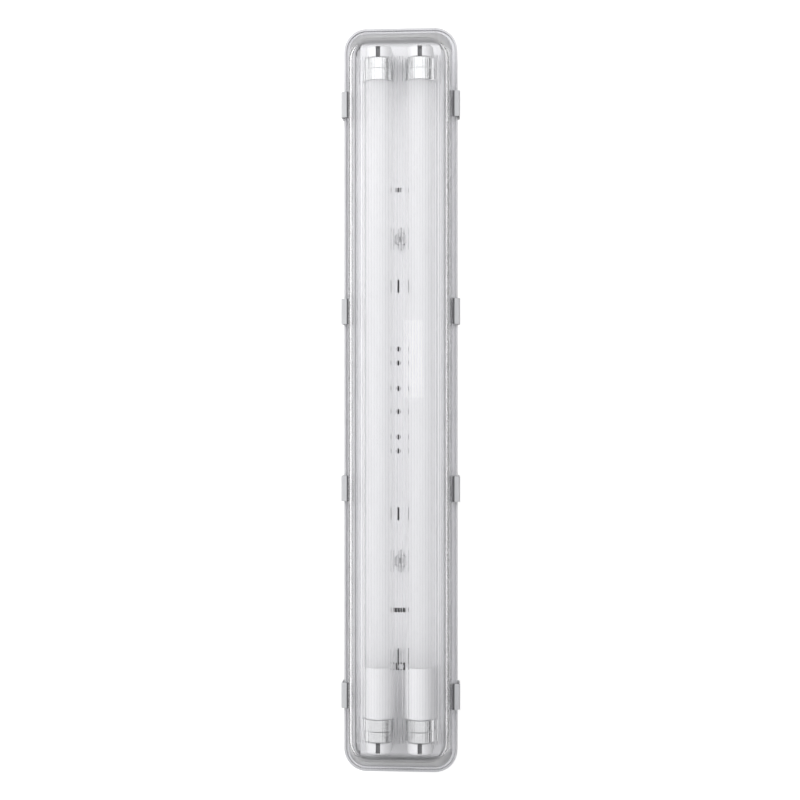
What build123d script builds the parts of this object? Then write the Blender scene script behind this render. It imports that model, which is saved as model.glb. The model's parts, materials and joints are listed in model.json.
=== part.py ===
from build123d import *
import os

# Vapor tight fixture for two tube lamps, in millimetres.
# X runs across the fixture, Y along the lamps with the feed end at -Y,
# Z up from the mounting surface to the crown of the clear cover.

# Lamps
lamp_length = 589.8  # between the end faces of the caps
lamp_pitch = 36.0  # between the two lamp axes
glass_diameter = 25.6
glass_wall = 0.9
cap_length = 19.6
cap_sheet = 0.5
cap_nose_length = 9.2  # narrower outer stretch of the cap
cap_nose_step = 0.9
cap_edge_round = 0.8
cap_overlap = 8.0  # glass inside the cap
pin_spacing = 12.7
pin_diameter = 2.35
pin_length = 7.0
pin_disc_radius = 9.0
pin_disc_thickness = 2.5
pin_disc_flange = 1.2
sleeve_length = 44.0
sleeve_thickness = 0.25
sleeve_setback = 0.8  # bare glass between sleeve and feed cap
board_width = 10.0
board_thickness = 1.0
led_size = 3.0
led_height = 0.7
led_spacing = 18.0
driver_length = 42.0
driver_width = 13.0
driver_height = 8.0

# Room between the lamps and the enclosure
end_room = 32.6  # lamp end face to the outer edge of the rim
side_room = 19.2  # glass to the outer edge of the rim
crown_room = 2.7  # cap to the tips of the prisms

# Housing
housing_depth = 38.0  # back face to the parting plane
housing_wall = 2.2
housing_side_lean = 7.0
housing_end_lean = 12.0
back_corner = 11.0
back_round = 5.0
rim_corner = 20.0
rim_lip = 2.0
rim_edge_chamfer = 0.7
groove_width = 4.4
groove_depth = 6.0
groove_floor = 2.0
channel_width = 24.0  # recess along the back for the heads of the mounting screws
channel_depth = 4.0
channel_end_room = 40.0
post_radius = 9.5
post_spacing = 284.0
ledge_length = 10.0
ledge_height = 7.0
ledge_reach = 2.8  # under the tray's side lip

# Clear cover
cover_wall = 2.0
cover_inset = 5.0  # outer edge of the rim to the foot of the cover's wall
cover_side_lean = 2.2
cover_end_lean = 13.0
cover_top_corner = 18.0
cover_top_round = 6.0
flange_thickness = 2.0
flange_edge = 0.5
flange_gap = 0.2
tongue_thickness = 1.8
gasket_height = 3.5
prism_pitch = 2.45
prism_width = 0.9  # foot of one prism, with flat ceiling between the prisms
prism_depth = 0.3
prism_setback = 1.0  # lamp end face to the end of the prisms
seat_stop_offset = 13.3  # latch centre to each stop on the flange
seat_stop_length = 2.6
seat_stop_height = 0.8

# Latches
latch_length = 22.5
latch_end_setback = 67.5  # end of the rim to the outer latches
latch_middle_gap = 156.0  # between the two inner latches
latch_wall = 1.2
latch_room = 1.2  # rim to the inside of the latch's wall
latch_foot = 1.7  # rim to the lower outer corner
latch_reach = 4.4
latch_jaw = 1.9  # height of the lip that bears on the flange
latch_lip = 1.0
latch_plate = 1.1
latch_round = 1.6
latch_lip_round = 0.5
barrel_radius = 1.9
trunnion_radius = 1.0
lug_thickness = 2.0
lug_radius = 2.0
pry_slot_length = 9.0
pry_slot_height = 2.6

# Gear tray
tray_sheet = 0.7
tray_drop = 3.0  # parting plane to the top of the tray
tray_margin = 7.2  # lampholder to the step of the tray
tray_overhang = 10.6  # lampholder to the end of the tray
tray_step = 4.0  # top of the tray down to its side lips
tray_lip = 3.2
tray_corner = 10.0
tray_bend = 1.5
tray_notch = 5.0  # end of the tray to the end of its side lips
tray_hole_diameter = 4.4
tray_hole_spacings = (20.4, 65.4, 90.0)
hole_row_x = -2.2  # small holes and long slots beside the middle
long_slot_spacing = 201.0
long_slot_length = 11.5
long_slot_width = 3.2
cross_slot_spacing = 371.0
cross_slot_length = 15.0
cross_slot_width = 4.0
far_slot_length = 5.0
end_mark_setback = 21.9
end_mark_length = 16.0
end_mark_width = 4.6
end_mark_depth = 0.3  # pressed into the sheet

# Tray fasteners
knob_radius = 5.5
knob_height = 3.0
knob_slot_width = 1.3
knob_slot_depth = 1.2
wing_length = 20.0
wing_width = 4.2
wing_thickness = 2.0
shank_radius = 3.0
shank_length = 14.0
knob_hole_room = 0.6

# Lampholders
holder_width = 22.0
holder_thickness = 10.5
holder_height = 21.0  # top of the tray to the lamp axis
holder_back = 1.3
holder_edge_chamfer = 0.8
entry_slot_width = 3.8
foot_width = 18.0
foot_thickness = 7.0
foot_drop = 7.0
leaf_thickness = 0.5
leaf_width = 5.5
leaf_rise = 3.0
rotor_step = 0.35  # rotor edge inside the path of the pins
rotor_floor = 0.8
hub_radius = 2.5

# Supply parts
block_setback = 95.0  # lamp end face to the terminal block
block_width = 30.0
block_length = 18.0
block_height = 15.0
block_round = 1.0
pole_pitch = 10.0
wire_hole_size = 2.6
wire_hole_height = 5.0
terminal_screw_radius = 1.9
terminal_screw_length = 5.0
terminal_screw_offset = 5.0
driver_slot = 0.8  # slot across each screw head
wire_radius = 1.1
wire_sides = 6
wire_end_depth = 3.0
wire_bend = 7.0
wire_lead = 32.0  # block to the start of the crossing
wire_cross = 17.0  # length of the crossing
outlet_offset = 1.6  # pole to each of its two outlets
tab_setback = 69.3  # lamp end face to the earth tab
tab_length = 12.5
tab_height = 6.3
tab_sheet = 0.8
tab_foot_width = 9.0
tab_foot_length = 6.5
rivet_radius = 1.5
rivet_head_radius = 2.6
rivet_head = 0.9
clamp_setback = 14.0
clamp_width = 42.0
clamp_length = 10.0
clamp_height = 8.5
clamp_cord_radius = 4.2
clamp_round = 1.5
clamp_screw_spacing = 34.0
clamp_screw_radius = 1.5
clamp_screw_head_radius = 3.0
clamp_screw_head = 2.0
clamp_screw_bite = 3.0
clamp_boss_radius = 3.6

# Entry seal
seal_height = 16.0  # back face to the axis of the entry
seal_hole_radius = 10.0
seal_flange_radius = 12.0
seal_flange = 1.8
seal_wall = 3.0
seal_membrane = 1.2
seal_recess_radius = 7.0
seal_boss_radius = 13.5
seal_boss_length = 9.0
seal_seat_room = 3.0  # seat of the seal beyond the middle of the wall

# Mounting brackets
bracket_spacing = 400.0
bracket_width = 25.0
bracket_sheet = 1.0
bracket_bend = 1.5
bracket_hole_diameter = 5.5
bracket_arm_gap = 1.6
hook_height = 15.0  # back face to the top of the moulded hook ledge
hook_ledge = 1.0
hook_ledge_height = 2.0
hook_ledge_length = 20.0

# Clearances
running_clearance = 0.06
seat_clearance = 0.1
open_clearance = 0.3
latch_clearance = 0.4
barrel_clearance = 0.5
pin_path_clearance = 0.18

# Levels and half sizes that follow from the values above
glass_radius = glass_diameter / 2
cap_radius = glass_radius + seat_clearance + cap_sheet
lamp_half = lamp_length / 2
rim_length = lamp_length + 2 * end_room
rim_width = lamp_pitch + glass_diameter + 2 * side_room
rim_half_width = rim_width / 2
rim_half_length = rim_length / 2
back_z = bracket_sheet
parting_z = back_z + housing_depth
floor_z = back_z + housing_wall
hump_z = floor_z + channel_depth
rim_height = groove_depth + groove_floor
rim_bottom_z = parting_z - rim_height
wall_inset = rim_lip + groove_width
flange_bottom_z = parting_z + flange_gap
flange_top_z = flange_bottom_z + flange_thickness
tray_top_z = parting_z - tray_drop
tray_under_z = tray_top_z - tray_sheet
tray_lip_z = tray_top_z - tray_step
tray_edge_z = tray_lip_z - tray_sheet
tray_half_width = lamp_pitch / 2 + holder_width / 2 + tray_margin
tray_lip_half = tray_half_width + tray_lip
lamp_z = tray_top_z + holder_height
prism_tip_z = lamp_z + cap_radius + crown_room
cover_ceiling_z = prism_tip_z + prism_depth
crown_z = cover_ceiling_z + cover_wall
holder_face = lamp_half + open_clearance
holder_outer = holder_face + holder_thickness
cavity_end = holder_outer - holder_back
tray_half_length = holder_outer + tray_overhang
pin_path_radius = pin_spacing / 2 + pin_diameter / 2
cavity_radius = pin_path_radius + pin_path_clearance
foot_z = tray_top_z - foot_drop
pivot_x = rim_half_width - lug_radius
pivot_z = rim_bottom_z - barrel_clearance - barrel_radius
latch_ys = (
    rim_half_length - latch_end_setback,
    latch_middle_gap / 2,
    -latch_middle_gap / 2,
    latch_end_setback - rim_half_length,
)
block_y = block_setback - lamp_half
clamp_y = clamp_setback - lamp_half
tab_y = tab_setback - lamp_half
rivet_y = tab_y - tab_length / 2 - tab_foot_length / 2


def extrude_y(profile, start, end):
    """Carry an X-Z profile along Y from start to end."""
    return Pos(0, end, 0) * extrude(Plane.XZ * profile, end - start)


def rod_z(radius, bottom, top):
    """Round rod on the Z axis between two heights."""
    return Pos(0, 0, bottom) * extrude(Circle(radius), top - bottom)


def block(width, length, bottom, top):
    """Rectangular block centred on the Z axis between two heights."""
    return Pos(0, 0, bottom) * extrude(Rectangle(width, length), top - bottom)


def plan(side_inset, end_inset, corner, height):
    """Round-cornered outline inside the outer edge of the rim."""
    outline = RectangleRounded(rim_width - 2 * side_inset, rim_length - 2 * end_inset, corner)
    return Pos(0, 0, height) * outline


def ring(outer_inset, inner_inset, bottom, top):
    """Upright band that follows the rim between two insets."""
    outer = plan(outer_inset, outer_inset, rim_corner - outer_inset, bottom)
    inner = plan(inner_inset, inner_inset, rim_corner - inner_inset, bottom)
    return extrude(outer - inner, top - bottom)


def housing_side_x(height):
    """Half width of the housing's outer side wall at a height."""
    return rim_half_width - wall_inset - housing_side_lean * (parting_z - height) / housing_depth


def housing_end_y(height):
    """Half length of the housing's outer end wall at a height."""
    return rim_half_length - wall_inset - housing_end_lean * (parting_z - height) / housing_depth


def housing_outline(inset, corner, height):
    """Outline inside the housing's leaning outer walls at a height."""
    side_inset = rim_half_width - housing_side_x(height) + inset
    end_inset = rim_half_length - housing_end_y(height) + inset
    return plan(side_inset, end_inset, corner, height)


def housing_hollow():
    """Space inside the housing's walls, bevelled round its floor."""
    bevel = back_round - housing_wall
    foot = housing_outline(back_round, back_corner - back_round, floor_z)
    knee = housing_outline(housing_wall, back_corner - housing_wall, floor_z + bevel)
    top = housing_outline(housing_wall, rim_corner - wall_inset - housing_wall, parting_z)
    return loft([foot, knee, top], ruled=True)


def seal_seat_y():
    """Outer face of the entry seal's seat, on the feed-end wall."""
    return -housing_end_y(back_z + seal_height) - seal_seat_room + housing_wall


def make_housing():
    """Moulded tub with rim, gasket groove, latch lugs, posts, ledges and cable entry."""
    back = housing_outline(0, back_corner, back_z)
    top = housing_outline(0, rim_corner - wall_inset, parting_z)
    housing = loft([back, top], ruled=True)
    housing = fillet(housing.edges().group_by(Axis.Z)[0], back_round)
    rim = extrude(plan(0, 0, rim_corner, rim_bottom_z), rim_height)
    rim = chamfer(rim.edges().group_by(Axis.Z)[0], rim_edge_chamfer)
    housing += rim
    housing -= housing_hollow()
    housing -= ring(rim_lip, wall_inset, parting_z - groove_depth, parting_z)

    channel_length = 2 * (housing_end_y(back_z) - channel_end_room)
    housing += block(channel_width + 2 * housing_wall, channel_length + 2 * housing_wall, back_z, hump_z)
    housing -= block(channel_width, channel_length, back_z, back_z + channel_depth)

    post = rod_z(post_radius, hump_z - housing_wall, tray_under_z)
    post -= rod_z(shank_radius + running_clearance, tray_under_z - shank_length, tray_under_z)
    for side in (-1, 1):
        housing += Pos(0, side * post_spacing / 2, 0) * post

    boss = rod_z(clamp_boss_radius, floor_z - housing_wall / 2, hump_z)
    boss -= rod_z(clamp_screw_radius, hump_z - clamp_screw_bite, hump_z)
    for side in (-1, 1):
        housing += Pos(side * clamp_screw_spacing / 2, clamp_y, 0) * boss

    housing += tray_ledges()
    housing += hook_ledges()
    for latch_y in latch_ys:
        housing += latch_lugs(latch_y)
        housing += mirror(latch_lugs(latch_y), about=Plane.YZ)
    return seal_entry(housing)


def tray_ledges():
    """Ledges on the side walls that carry the tray's side lips."""
    inner = tray_lip_half - ledge_reach
    outer = housing_side_x(tray_edge_z - ledge_height) - housing_wall / 2
    ledge = block(outer - inner, ledge_length, tray_edge_z - ledge_height, tray_edge_z)
    ledges = Part()
    for side in (-1, 1):
        for place in (-1, 0, 1):
            ledge_y = place * (tray_half_length - ledge_length - end_room)
            ledges += Pos(side * (inner + outer) / 2, ledge_y, 0) * ledge
    return ledges


def hook_ledges():
    """Short ledges outside the side walls, one under each bracket hook."""
    top = back_z + hook_height
    bottom = top - hook_ledge_height
    inner = housing_side_x(bottom) - housing_wall / 2
    outer = housing_side_x(top) + hook_ledge
    ledge = block(outer - inner, hook_ledge_length, bottom, top)
    ledges = Part()
    for side in (-1, 1):
        for end in (-1, 1):
            ledges += Pos(side * (inner + outer) / 2, end * bracket_spacing / 2, 0) * ledge
    return ledges


def latch_lugs(latch_y):
    """Pair of lugs under the right rim that hold a latch's trunnions."""
    profile = Pos(pivot_x, pivot_z) * Circle(lug_radius)
    profile += Pos(pivot_x, (pivot_z + rim_bottom_z) / 2) * Rectangle(2 * lug_radius, rim_bottom_z - pivot_z)
    profile -= Pos(pivot_x, pivot_z) * Circle(trunnion_radius + running_clearance)
    inner = latch_length / 2 + open_clearance
    upper = extrude_y(profile, latch_y + inner, latch_y + inner + lug_thickness)
    lower = extrude_y(profile, latch_y - inner - lug_thickness, latch_y - inner)
    return Part() + upper + lower


def seal_entry(housing):
    """Add the round seat of the entry seal to the feed-end wall and open it."""
    seat = seal_seat_y()
    place = Pos(0, 0, back_z + seal_height)
    housing += place * extrude_y(Circle(seal_boss_radius), seat, seat + seal_boss_length)
    housing -= place * extrude_y(Circle(seal_flange_radius + open_clearance), seat - end_room, seat)
    housing -= place * extrude_y(Circle(seal_hole_radius), seat, seat + seal_wall)
    inner_lip = Circle(seal_flange_radius + open_clearance)
    housing -= place * extrude_y(inner_lip, seat + seal_wall, seat + seal_boss_length)
    return housing


def make_gasket():
    """Foamed gasket ring that lies in the rim groove."""
    bottom = parting_z - groove_depth
    return ring(rim_lip + seat_clearance, wall_inset - seat_clearance, bottom, bottom + gasket_height)


def cover_tub(inset, bottom, top, corner_loss, edge_round):
    """Leaning tub of the cover from its flange up to a rounded top."""
    share = (top - bottom) / (crown_z - flange_bottom_z)
    base = cover_inset + inset
    low = plan(base, base, rim_corner - cover_inset - corner_loss, bottom)
    high = plan(
        base + cover_side_lean * share,
        base + cover_end_lean * share,
        cover_top_corner - corner_loss,
        top,
    )
    tub = loft([low, high], ruled=True)
    return fillet(tub.edges().group_by(Axis.Z)[-1], edge_round)


def make_cover():
    """Clear cover: flange, tongue, leaning shell and lengthwise prisms under its top."""
    cover = cover_tub(0, flange_bottom_z, crown_z, 0, cover_top_round)
    flange = plan(flange_edge, flange_edge, rim_corner - flange_edge, flange_bottom_z)
    cover += extrude(flange, flange_thickness)
    tongue_inset = rim_lip + (groove_width - tongue_thickness) / 2
    gasket_top = parting_z - groove_depth + gasket_height
    cover += ring(tongue_inset, tongue_inset + tongue_thickness, gasket_top, flange_bottom_z)
    cover -= cover_tub(cover_wall, flange_bottom_z, cover_ceiling_z, cover_wall, cover_top_round - cover_wall)
    cover += cover_prisms()
    stop_reach = cover_inset - flange_edge - cover_wall / 2
    stop = block(stop_reach, seat_stop_length, flange_top_z, flange_top_z + seat_stop_height)
    stop_x = rim_half_width - cover_inset + stop_reach / 2 - cover_wall / 2
    for latch_y in latch_ys:
        for offset_y in (-seat_stop_offset, seat_stop_offset):
            cover += Pos(stop_x, latch_y + offset_y, 0) * stop
            cover += Pos(-stop_x, latch_y + offset_y, 0) * stop
    return cover


def cover_prisms():
    """Row of lengthwise prisms that hangs from the cover's ceiling."""
    ceiling_half = rim_half_width - cover_inset - cover_wall - cover_side_lean
    flat_half = ceiling_half - (cover_top_round - cover_wall)
    count = int(2 * flat_half / prism_pitch)
    start = -count * prism_pitch / 2
    valley_z = prism_tip_z + prism_depth * prism_pitch / prism_width
    root_z = valley_z + cover_wall / 8
    points = [(start, root_z)]
    for index in range(count):
        points.append((start + index * prism_pitch, valley_z))
        points.append((start + (index + 0.5) * prism_pitch, prism_tip_z))
    points.append((-start, valley_z))
    points.append((-start, root_z))
    profile = make_face(Polyline(*points, close=True))
    return extrude_y(profile, prism_setback - lamp_half, lamp_half - prism_setback)


def make_latch(latch_y):
    """Right-hand latch: barrel with trunnions, hollow outer wall and a lipped jaw over the flange."""
    inner_x = rim_half_width + latch_room
    outer_x = inner_x + latch_wall
    jaw_z = flange_top_z + open_clearance
    tip_x = rim_half_width - latch_reach
    top_z = jaw_z + latch_jaw
    plate_z = top_z - latch_plate
    profile = make_face(
        Polyline(
            (pivot_x, pivot_z - barrel_radius),
            (rim_half_width + latch_foot, pivot_z - barrel_radius / 2),
            (outer_x, top_z),
            (tip_x, top_z),
            (tip_x, jaw_z),
            (tip_x + latch_lip, jaw_z),
            (tip_x + latch_lip, plate_z),
            (inner_x, plate_z),
            (rim_half_width + latch_clearance, pivot_z + barrel_radius / 2),
            (pivot_x, pivot_z),
            close=True,
        )
    )
    outer_corner = profile.vertices().filter_by(lambda v: v.X > inner_x and v.Y > plate_z)
    profile = fillet(outer_corner, latch_round)
    tip_corners = profile.vertices().filter_by(lambda v: v.X < tip_x + latch_lip_round)
    profile = fillet(tip_corners, latch_lip_round)
    profile += Pos(pivot_x, pivot_z) * Circle(barrel_radius)
    latch = extrude_y(profile, -latch_length / 2, latch_length / 2)
    slot_z = parting_z - rim_height / 2
    slot = block(2 * (latch_wall + latch_room), pry_slot_length, slot_z, slot_z + pry_slot_height)
    latch -= Pos(outer_x, 0, 0) * slot
    reach = latch_length / 2 + open_clearance + lug_thickness
    latch += Pos(pivot_x, 0, pivot_z) * extrude_y(Circle(trunnion_radius), -reach, reach)
    return Pos(0, latch_y, 0) * latch


def tray_profile():
    """Section of the tray: raised top, a step down on each side and a lip on each step."""
    web = tray_half_width - tray_sheet
    sheet = make_face(
        Polyline(
            (-tray_lip_half, tray_lip_z),
            (-tray_half_width, tray_lip_z),
            (-tray_half_width, tray_top_z),
            (tray_half_width, tray_top_z),
            (tray_half_width, tray_lip_z),
            (tray_lip_half, tray_lip_z),
            (tray_lip_half, tray_edge_z),
            (web, tray_edge_z),
            (web, tray_under_z),
            (-web, tray_under_z),
            (-web, tray_edge_z),
            (-tray_lip_half, tray_edge_z),
            close=True,
        )
    )
    outer = ((tray_half_width, tray_top_z), (web, tray_edge_z))
    inner = ((web, tray_under_z), (tray_half_width, tray_lip_z))
    for corners, bend in ((outer, tray_bend), (inner, tray_bend - tray_sheet)):
        places = [(side * x, z) for x, z in corners for side in (-1, 1)]
        sheet = fillet([sheet.vertices().sort_by_distance(place)[0] for place in places], bend)
    return sheet


def make_tray():
    """Folded sheet tray with its punched holes and slots."""
    tray = extrude_y(tray_profile(), -tray_half_length, tray_half_length)
    notch = block(2 * tray_lip_half, tray_notch, tray_edge_z, tray_top_z - tray_bend)
    for side in (-1, 1):
        tray -= Pos(0, side * (tray_half_length - tray_notch / 2), 0) * notch
    outline = RectangleRounded(2 * tray_lip_half, 2 * tray_half_length, tray_corner)
    tray &= Pos(0, 0, tray_edge_z) * extrude(outline, tray_top_z - tray_edge_z)
    end_mark = block(end_mark_length, end_mark_width, tray_top_z - end_mark_depth, tray_top_z)
    for side in (-1, 1):
        tray -= Pos(0, side * (lamp_half - end_mark_setback), 0) * end_mark
    foot_slot = Rectangle(foot_width + 2 * seat_clearance, foot_thickness + 2 * seat_clearance)
    keyhole = Circle(knob_radius + knob_hole_room)
    keyhole += Rectangle(wing_length + knob_hole_room, wing_width + knob_hole_room)
    long_slot = SlotOverall(long_slot_length, long_slot_width, rotation=90)
    openings = Sketch()
    for side in (-1, 1):
        openings += Pos(0, side * post_spacing / 2) * keyhole
        openings += Pos(hole_row_x, side * long_slot_spacing / 2) * long_slot
        for spacing in tray_hole_spacings:
            openings += Pos(hole_row_x, side * spacing / 2) * Circle(tray_hole_diameter / 2)
        for lamp_x in (-lamp_pitch / 2, lamp_pitch / 2):
            openings += Pos(lamp_x, side * foot_center()) * foot_slot
    openings += Pos(hole_row_x, cross_slot_spacing / 2) * Rectangle(far_slot_length, cross_slot_width)
    openings += Pos(0, -cross_slot_spacing / 2) * Rectangle(cross_slot_length, cross_slot_width)
    openings += Pos(0, rivet_y) * Circle(rivet_radius + seat_clearance)
    return tray - Pos(0, 0, tray_under_z) * extrude(openings, tray_sheet)


def foot_center():
    """Distance from the middle of the fixture to the middle of a lampholder's foot."""
    return holder_face + holder_thickness / 2


def make_lampholder():
    """Lampholder at the +Y end on the lamp axis of X = 0, open towards the lamp."""
    round_top = Pos(0, lamp_z) * Circle(holder_width / 2)
    stem = Pos(0, (lamp_z + tray_top_z) / 2) * Rectangle(holder_width, holder_height)
    holder = extrude_y(round_top + stem, holder_face, holder_outer)
    rims = holder.edges().filter_by(GeomType.CIRCLE)
    holder = chamfer(rims, holder_edge_chamfer)
    foot = block(foot_width, foot_thickness, foot_z, tray_top_z)
    holder += Pos(0, foot_center(), 0) * foot
    holder -= Pos(0, 0, lamp_z) * extrude_y(Circle(cavity_radius), holder_face, cavity_end)
    hub_hole = Circle(hub_radius + running_clearance)
    holder -= Pos(0, 0, lamp_z) * extrude_y(hub_hole, cavity_end, holder_outer)
    slot = Pos(0, lamp_z + holder_width / 4) * Rectangle(entry_slot_width, holder_width / 2)
    holder -= extrude_y(slot, holder_face, cavity_end)
    for side in (-1, 1):
        pocket = leaf_profile(side, seat_clearance)
        holder -= extrude_y(pocket, leaf_start() - seat_clearance, leaf_start() + leaf_width + seat_clearance)
        entry = Pos(side * wire_entry_x(), foot_z + wire_end_depth) * Circle(wire_radius + seat_clearance)
        foot_face = foot_center() - foot_thickness / 2
        holder -= extrude_y(entry, foot_face, foot_face + wire_end_depth)
    return holder


def leaf_start():
    """Where the contact leaves begin behind the lampholder's face."""
    return holder_face + (cavity_end - holder_face - leaf_width) / 2


def leaf_profile(side, grow):
    """X-Z profile of a contact leaf, or of its pocket when grown."""
    middle_x = pin_path_radius + running_clearance + leaf_thickness / 2
    top = lamp_z + leaf_rise
    bottom = foot_z + wire_end_depth
    leaf = Rectangle(leaf_thickness + 2 * grow, top - bottom + 2 * grow)
    return Pos(side * middle_x, (top + bottom) / 2) * leaf


def wire_entry_x():
    """Offset of the wire entries in a lampholder's foot, just inside the leaves."""
    return pin_path_radius - wire_radius


def make_leaves():
    """Two contact leaves of a lampholder."""
    leaves = Part()
    for side in (-1, 1):
        leaves += extrude_y(leaf_profile(side, 0), leaf_start(), leaf_start() + leaf_width)
    return leaves


def make_rotor():
    """Turning rotor of a lampholder, slotted for the pins, with a hub in the back wall."""
    start = holder_face + open_clearance
    end = cavity_end - open_clearance
    rotor = extrude_y(Circle(pin_path_radius - rotor_step), start, end)
    slot = Rectangle(2 * cavity_radius, pin_diameter + 2 * seat_clearance)
    rotor -= extrude_y(slot, start, end - rotor_floor)
    rotor += extrude_y(Circle(hub_radius), end - rotor_floor, holder_outer)
    return Pos(0, 0, lamp_z) * rotor


def turned(profile_points):
    """Body of revolution about the lamp axis from radius and Y points."""
    profile = make_face(Polyline(*profile_points, close=True))
    return Pos(0, 0, lamp_z) * revolve(profile, Axis.Y)


def make_cap():
    """Stepped aluminium cap at the +Y end of a lamp."""
    nose_radius = cap_radius - cap_nose_step
    shoulder = lamp_half - cap_nose_length
    points = (
        (pin_disc_radius, lamp_half),
        (nose_radius - cap_edge_round, lamp_half),
        (nose_radius, lamp_half - cap_edge_round),
        (nose_radius, shoulder),
        (cap_radius, shoulder - cap_nose_step),
        (cap_radius, lamp_half - cap_length),
        (cap_radius - cap_sheet, lamp_half - cap_length),
        (cap_radius - cap_sheet, shoulder - cap_nose_step),
        (nose_radius - cap_sheet, shoulder - cap_sheet),
        (nose_radius - cap_sheet, lamp_half - cap_edge_round),
        (pin_disc_radius, lamp_half - cap_edge_round),
    )
    return turned(points)


def make_pin_disc():
    """Insulating disc behind the end of a cap, with the two pin holes."""
    inner = pin_disc_radius - seat_clearance
    flange_y = lamp_half - cap_edge_round
    points = (
        (0, lamp_half),
        (inner, lamp_half),
        (inner, flange_y),
        (pin_disc_radius + pin_disc_flange, flange_y),
        (pin_disc_radius + pin_disc_flange, lamp_half - pin_disc_thickness),
        (0, lamp_half - pin_disc_thickness),
    )
    disc = turned(points)
    for side in (-1, 1):
        hole = extrude_y(Circle(pin_diameter / 2), lamp_half - pin_disc_thickness, lamp_half)
        disc -= Pos(side * pin_spacing / 2, 0, lamp_z) * hole
    return disc


def make_pins():
    """Pair of contact pins at the +Y end of a lamp."""
    pin = extrude_y(Circle(pin_diameter / 2), lamp_half - pin_disc_thickness, lamp_half + pin_length)
    pins = Part()
    for side in (-1, 1):
        pins += Pos(side * pin_spacing / 2, 0, lamp_z) * pin
    return pins


def make_glass():
    """Frosted glass tube between the caps."""
    reach = lamp_half - cap_length + cap_overlap
    tube = Circle(glass_radius) - Circle(glass_radius - glass_wall)
    return Pos(0, 0, lamp_z) * extrude_y(tube, -reach, reach)


def make_sleeve():
    """Plain label sleeve round the glass beside the feed cap."""
    band = Circle(glass_radius + sleeve_thickness) - Circle(glass_radius)
    start = cap_length + sleeve_setback - lamp_half
    return Pos(0, 0, lamp_z) * extrude_y(band, start, start + sleeve_length)


def board_z():
    """Underside of the LED board, on the chord of the glass that is as wide as the board."""
    inner = glass_radius - glass_wall
    return lamp_z - (inner**2 - (board_width / 2) ** 2) ** 0.5


def board_ends():
    """Y of the feed end and the far end of the LED board."""
    return cap_length + driver_length - lamp_half, lamp_half - cap_length


def make_board():
    """Narrow LED board along the lower inside of the glass."""
    start, end = board_ends()
    section = Pos(0, board_z() + board_thickness / 2) * Rectangle(board_width, board_thickness)
    return extrude_y(section, start, end)


def make_leds():
    """Row of LED packages on the board."""
    start, end = board_ends()
    count = int((end - start) / led_spacing)
    bottom = board_z() + board_thickness
    package = block(led_size, led_size, bottom, bottom + led_height)
    first = (start + end - (count - 1) * led_spacing) / 2
    leds = Part()
    for index in range(count):
        leds += Pos(0, first + index * led_spacing, 0) * package
    return leds


def make_driver():
    """Lamp driver between the feed cap and the LED board."""
    chord = (glass_radius - glass_wall) ** 2 - (driver_width / 2) ** 2
    bottom = lamp_z - chord**0.5
    section = Pos(0, bottom + driver_height / 2) * Rectangle(driver_width, driver_height)
    return extrude_y(section, cap_length - lamp_half, cap_length + driver_length - lamp_half)


def make_fastener():
    """Turn fastener of the tray: slotted knob, two wings along Y and a shank."""
    knob = rod_z(knob_radius, tray_under_z + open_clearance, tray_top_z + knob_height)
    knob = chamfer(knob.edges().group_by(Axis.Z)[-1], knob_slot_width / 3)
    wing_z = tray_top_z + open_clearance
    wings = Pos(0, 0, wing_z) * extrude(SlotOverall(wing_length, wing_width, rotation=90), wing_thickness)
    slot_top = tray_top_z + knob_height
    slot = block(knob_slot_width, 2 * knob_radius, slot_top - knob_slot_depth, slot_top)
    shank_bottom = tray_under_z - shank_length + open_clearance
    shank = rod_z(shank_radius, shank_bottom, tray_under_z + open_clearance)
    return knob + wings - slot + shank


def make_terminal_block():
    """Three-pole terminal block on the hump of the floor."""
    body = block(block_width, block_length, hump_z, hump_z + block_height)
    body = fillet(body.edges().filter_by(Axis.Z), block_round)
    wire_hole = Rectangle(wire_hole_size, wire_hole_size)
    for pole in (-1, 0, 1):
        for shift in (-outlet_offset, outlet_offset):
            hole = Pos(pole * pole_pitch + shift, hump_z + wire_hole_height) * wire_hole
            body -= extrude_y(hole, -block_length / 2, block_length / 2)
        for side in (-1, 1):
            well_bottom = hump_z + wire_hole_height + wire_hole_size / 2
            well = rod_z(terminal_screw_radius + seat_clearance, well_bottom, hump_z + block_height)
            body -= Pos(pole * pole_pitch, side * terminal_screw_offset, 0) * well
    return Pos(0, block_y, 0) * body


def slotted_screw(radius, bottom, top):
    """Round screw body with a driver slot across its top."""
    slot = block(driver_slot, 2 * radius, top - driver_slot, top)
    return rod_z(radius, bottom, top) - slot


def make_terminal_screws():
    """Six clamp screws of the terminal block."""
    bottom = hump_z + wire_hole_height + wire_hole_size / 2
    screw = slotted_screw(terminal_screw_radius, bottom, bottom + terminal_screw_length)
    screws = Part()
    for pole in (-1, 0, 1):
        for side in (-1, 1):
            screws += Pos(pole * pole_pitch, block_y + side * terminal_screw_offset, 0) * screw
    return screws


def wire_along(points):
    """Insulated wire along straight runs joined by arcs, with a few flat sides."""
    path = FilletPolyline(*points, radius=wire_bend)
    section = Plane(origin=path @ 0, z_dir=path % 0) * RegularPolygon(wire_radius, wire_sides)
    return sweep(section, path)


def wire_marks():
    """Y marks of a wire: in the block, where it starts to cross, where it has crossed, in the foot."""
    start = block_y - block_length / 2 + wire_end_depth
    cross_start = block_y - block_length / 2 - wire_lead
    foot_face = foot_thickness / 2 - foot_center()
    return start, cross_start, cross_start - wire_cross, foot_face - wire_end_depth


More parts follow.
